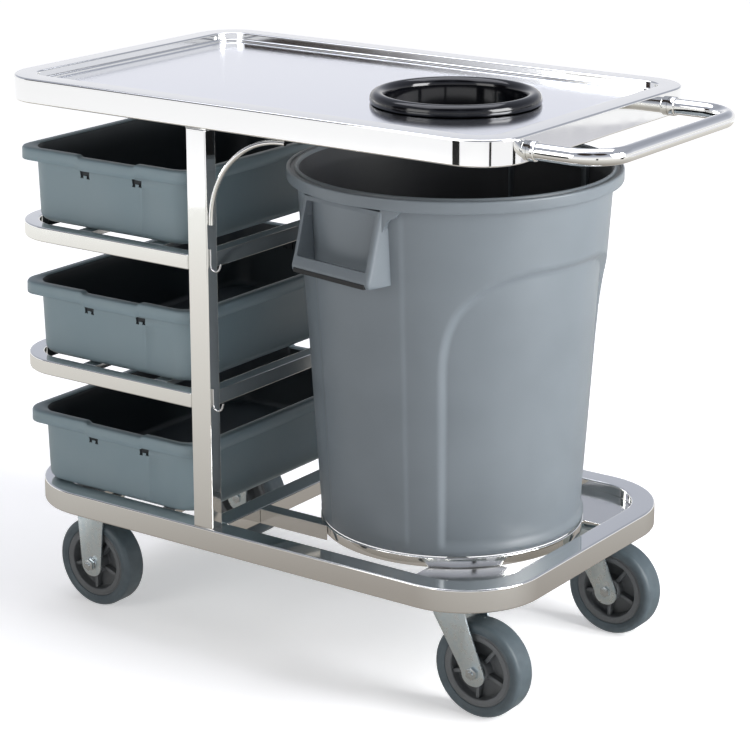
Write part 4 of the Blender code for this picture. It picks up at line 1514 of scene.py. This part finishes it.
@dataclass(frozen=True)
class Caster:
    """One caster: plate, race, pressed fork, axle hardware, hub and tyre."""

    end: str
    side: str
    mounting: Mounting
    wheel_radius: float = 0.0762
    wheel_width: float = 0.044
    tread_inner: float = 0.0590
    shoulder: float = 0.0085
    fork_plate: float = 0.003
    fork_bend: float = 0.007
    eye: float = 0.0205
    eye_drop: float = 0.0015
    crown_height: float = 0.016
    crown_length: float = 0.060
    leg_round: float = 0.012
    spokes: int = 5
    spoke_width: float = 0.0062
    first_spoke: float = 0.35
    bolt_radius: float = 0.0049
    nut: tuple[float, float] = (0.0104, 0.0072)
    head: tuple[float, float] = (0.0092, 0.0064)

    @property
    def prefix(self) -> str:
        """Start of this caster's node names."""
        return f"{self.end}_{self.side}"

    @property
    def holder(self) -> str:
        """The body that the fork belongs to."""
        return "root" if self.mounting is Mounting.RIGID else f"{self.prefix}_caster"

    def build(self) -> None:
        """Builds the caster from its plate down."""
        low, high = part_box(f"{self.prefix}_tyre")
        axle = (low + high) / 2
        self.plate()
        if self.mounting is Mounting.SWIVEL:
            self.race()
        self.fork(axle)
        self.hardware(axle)
        self.tyre(axle)
        self.hub(axle)

    def plate(self) -> None:
        """The top plate, bolted under the corner plate."""
        bm = merged_copy(f"{self.prefix}_caster_plate")
        soften(bm, 0.0008, 2)
        node = f"{self.prefix}_caster_plate"
        add_piece(f"{node}_pressing", bm, Finishes.ZINC, "root", node, flat_true=True)

    def race(self) -> None:
        """The swivel's ball race: a domed upper cup over a rolled lower ring."""
        node = f"{self.prefix}_swivel_race"
        low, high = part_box(node)
        middle = (low + high) / 2
        radius = (high.x - low.x) / 2
        tall = high.z - low.z
        profile = [(0.0, low.z), (radius - 0.010, low.z), (radius - 0.004, low.z + tall * 0.18)]
        profile += [(radius - 0.0035, low.z + tall * 0.40), (radius - 0.0006, low.z + tall * 0.46)]
        profile += arc((radius - 0.003, low.z + tall * 0.62), 0.003, 0, 60, 4)
        profile += [(radius - 0.006, high.z - 0.001), (radius - 0.008, high.z), (0.0, high.z)]
        bm = turned(profile, 64, Vector((middle.x, middle.y, 0)))
        add_piece(f"{node}_cup", bm, Finishes.ZINC, "root", node)

    def fork(self, axle: Vector) -> None:
        """One pressed sheet: two tapering legs and the crown between them, thickened inwards.

        Args:
            axle: the wheel's centre.
        """
        node = f"{self.prefix}_fork"
        low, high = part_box(node)
        bm = bmesh.new()
        back, front = low.x, high.x
        if self.mounting is Mounting.SWIVEL:
            front = low.x + self.crown_length
        waist = high.z - self.crown_height
        foot = axle.z - self.eye_drop
        side = [(back, high.z), (back, waist), (axle.x - self.eye, foot),
                (axle.x - self.eye * 0.95, foot - self.eye), (axle.x + self.eye * 0.95, foot - self.eye),
                (axle.x + self.eye, foot), (front, waist), (front, high.z)]
        leg = [bm.verts.new((x, low.y, z)) for x, z in side]
        bm.faces.new(leg)
        bmesh.ops.bevel(bm, geom=[leg[3], leg[4]], offset=self.eye * 0.88, offset_type="ABSOLUTE",
                        affect="VERTICES", segments=10, profile=0.5, material=-1)
        bm.verts.ensure_lookup_table()
        turns = [v for v in bm.verts if abs(v.co.z - waist) < 1e-6 or abs(v.co.z - foot) < 1e-6]
        bmesh.ops.bevel(bm, geom=turns, offset=self.leg_round, offset_type="ABSOLUTE", affect="VERTICES",
                        segments=6, profile=0.5, material=-1)
        copy = bmesh.ops.duplicate(bm, geom=bm.verts[:] + bm.edges[:] + bm.faces[:])["geom"]
        bmesh.ops.translate(bm, verts=verts_of(copy), vec=(0, high.y - low.y, 0))
        tops = [e for e in bm.edges if all(abs(v.co.z - high.z) < 1e-6 for v in e.verts)]
        bmesh.ops.bridge_loops(bm, edges=tops)
        folds = [e for e in bm.edges if len(e.link_faces) == 2
                 and all(abs(v.co.z - high.z) < 1e-6 for v in e.verts)
                 and abs(e.verts[0].co.y - e.verts[1].co.y) < 1e-6]
        bmesh.ops.bevel(bm, geom=folds, offset=self.fork_bend, offset_type="OFFSET", affect="EDGES",
                        segments=6, profile=0.5, material=-1)
        bmesh.ops.recalc_face_normals(bm, faces=bm.faces)
        piece = add_piece(f"{node}_pressing", bm, Finishes.ZINC, self.holder, node, sharp=45)
        shell = piece.modifiers.new("sheet", "SOLIDIFY")
        shell.thickness = self.fork_plate
        crown = max(piece.data.polygons, key=lambda polygon: polygon.center.z)
        shell.offset = -1.0 if crown.normal.z > 0 else 1.0
        edge = piece.modifiers.new("broken_edges", "BEVEL")
        edge.width, edge.segments, edge.limit_method = 0.0006, 2, "ANGLE"
        edge.angle_limit = math.radians(50)

    def hardware(self, axle: Vector) -> None:
        """The axle bolt's hexagon head on the inner side, washer, lock nut and tip on the outer.

        Args:
            axle: the wheel's centre.
        """
        node = f"{self.prefix}_axle_bolt"
        out = -1 if self.side == "front" else 1
        fork_low, fork_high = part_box(f"{self.prefix}_fork")
        half = (fork_high.y - fork_low.y) / 2
        round_bar, tip = self.bolt_radius, half + 0.0114
        shank = turned([(0.0, -half - 0.004), (round_bar, -half - 0.004), (round_bar, tip - 0.0008),
                        (round_bar - 0.0009, tip), (0.0, tip)], 32, Vector((0, 0, 0)))
        self.aim(shank, axle, out)
        add_piece(f"{node}_shank", shank, Finishes.BOLT, self.holder, node)
        for name, start, (size, tall) in (("nut", half + 0.0020, self.nut),
                                          ("head", -half - 0.0065, self.head)):
            bm = bmesh.new()
            bmesh.ops.create_cone(bm, cap_ends=True, segments=6, radius1=size, radius2=size, depth=tall,
                                  matrix=Matrix.Translation((0, 0, start + tall / 2)))
            soften(bm, 0.0007, 2, 80)
            self.aim(bm, axle, out)
            add_piece(f"{node}_{name}", bm, Finishes.BOLT, self.holder)
        for name, start in (("outer", half + 0.0002), ("inner", -half - 0.0019)):
            ring = [(0.0051, start), (0.0110, start), (0.0112, start + 0.0004), (0.0112, start + 0.0013),
                    (0.0108, start + 0.0017), (0.0051, start + 0.0017)]
            bm = turned(ring, 40, Vector((0, 0, 0)))
            self.aim(bm, axle, out)
            add_piece(f"{node}_washer_{name}", bm, Finishes.BOLT, self.holder)

    def aim(self, bm: bmesh.types.BMesh, axle: Vector, out: int) -> None:
        """Lays a piece made along Z on the axle, its top outwards.

        Args:
            bm: the piece.
            axle: the wheel's centre.
            out: which way is outwards along Y.
        """
        turn = Matrix.Rotation(-out * math.pi / 2, 3, "X")
        bmesh.ops.rotate(bm, verts=bm.verts, cent=(0, 0, 0), matrix=turn)
        bmesh.ops.translate(bm, verts=bm.verts, vec=axle)

    def tyre(self, axle: Vector) -> None:
        """A crowned tread with round shoulders and a raised line on each sidewall.

        Args:
            axle: the wheel's centre.
        """
        node = f"{self.prefix}_tyre"
        radius, half = self.wheel_radius, self.wheel_width / 2
        side = [(self.tread_inner, half - 0.0030), (self.tread_inner + 0.0015, half - 0.0016),
                (self.tread_inner + 0.0035, half - 0.0016), (self.tread_inner + 0.0045, half - 0.0004)]
        shoulder = (radius - self.shoulder, half - self.shoulder)
        side += reversed(arc(shoulder, self.shoulder, 0, 90, 10))
        section = side + [(x, -z) for x, z in reversed(side)]
        add_piece(f"{node}_rubber", turned(section, 96, axle, "Y"), Finishes.RUBBER,
                  f"{self.prefix}_wheel", node, sharp=60)

    def hub(self, axle: Vector) -> None:
        """The moulded hub: a rim band, a thin web, a boss, and spokes on both faces.

        Args:
            axle: the wheel's centre.
        """
        wheel = f"{self.prefix}_wheel"
        rim, wide = self.tread_inner - 0.0003, self.wheel_width / 2 - 0.0022
        inner, boss, bore, web = rim - 0.0115, 0.0185, 0.0088, 0.0035
        face = [(bore, wide + 0.002), (boss - 0.001, wide + 0.002), (boss, wide + 0.001),
                (boss + 0.0012, web + 0.002), (boss + 0.003, web), (inner - 0.003, web),
                (inner - 0.001, web + 0.002), (inner, wide - 0.0012), (inner + 0.0012, wide),
                (rim - 0.003, wide), (rim - 0.0022, wide - 0.0010), (rim, wide - 0.0010)]
        section = face + [(x, -z) for x, z in reversed(face)]
        add_piece(f"{self.prefix}_hub_moulding", turned(section, 80, axle, "Y"), Finishes.HUB, wheel,
                  f"{self.prefix}_hub")
        spokes = bmesh.new()
        for number in range(self.spokes):
            turn = Matrix.Rotation(2 * math.pi * number / self.spokes + self.first_spoke, 4, "Y")
            place = Matrix.Translation(axle) @ turn @ Matrix.Translation(((inner + boss) / 2, 0, 0))
            scale = Matrix.Diagonal((inner - boss + 0.003, 2 * (wide - 0.005), self.spoke_width, 1))
            bmesh.ops.create_cube(spokes, size=1.0, matrix=place @ scale)
        soften(spokes, 0.0012, 2)
        add_piece(f"{self.prefix}_hub_spokes", spokes, Finishes.HUB, wheel)
        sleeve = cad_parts[f"{self.prefix}_sleeve"]
        sleeve.data.materials.clear()
        sleeve.data.materials.append(Finishes.BOLT.value.material())


def main() -> None:
    """Builds the studio and the trolley."""
    logging.basicConfig(level=logging.INFO, format="%(name)s: %(message)s")
    Studio().build()
    FrameTubes().build()
    Tray().build()
    BentRods().build()
    BinHoop().build()
    for level in ("upper", "middle", "lower"):
        BusTub(level).build()
    WasteBin().build()
    for side in ("front", "rear"):
        Caster("left", side, Mounting.RIGID).build()
        Caster("right", side, Mounting.SWIVEL).build()


if __name__ == "__main__":
    main()
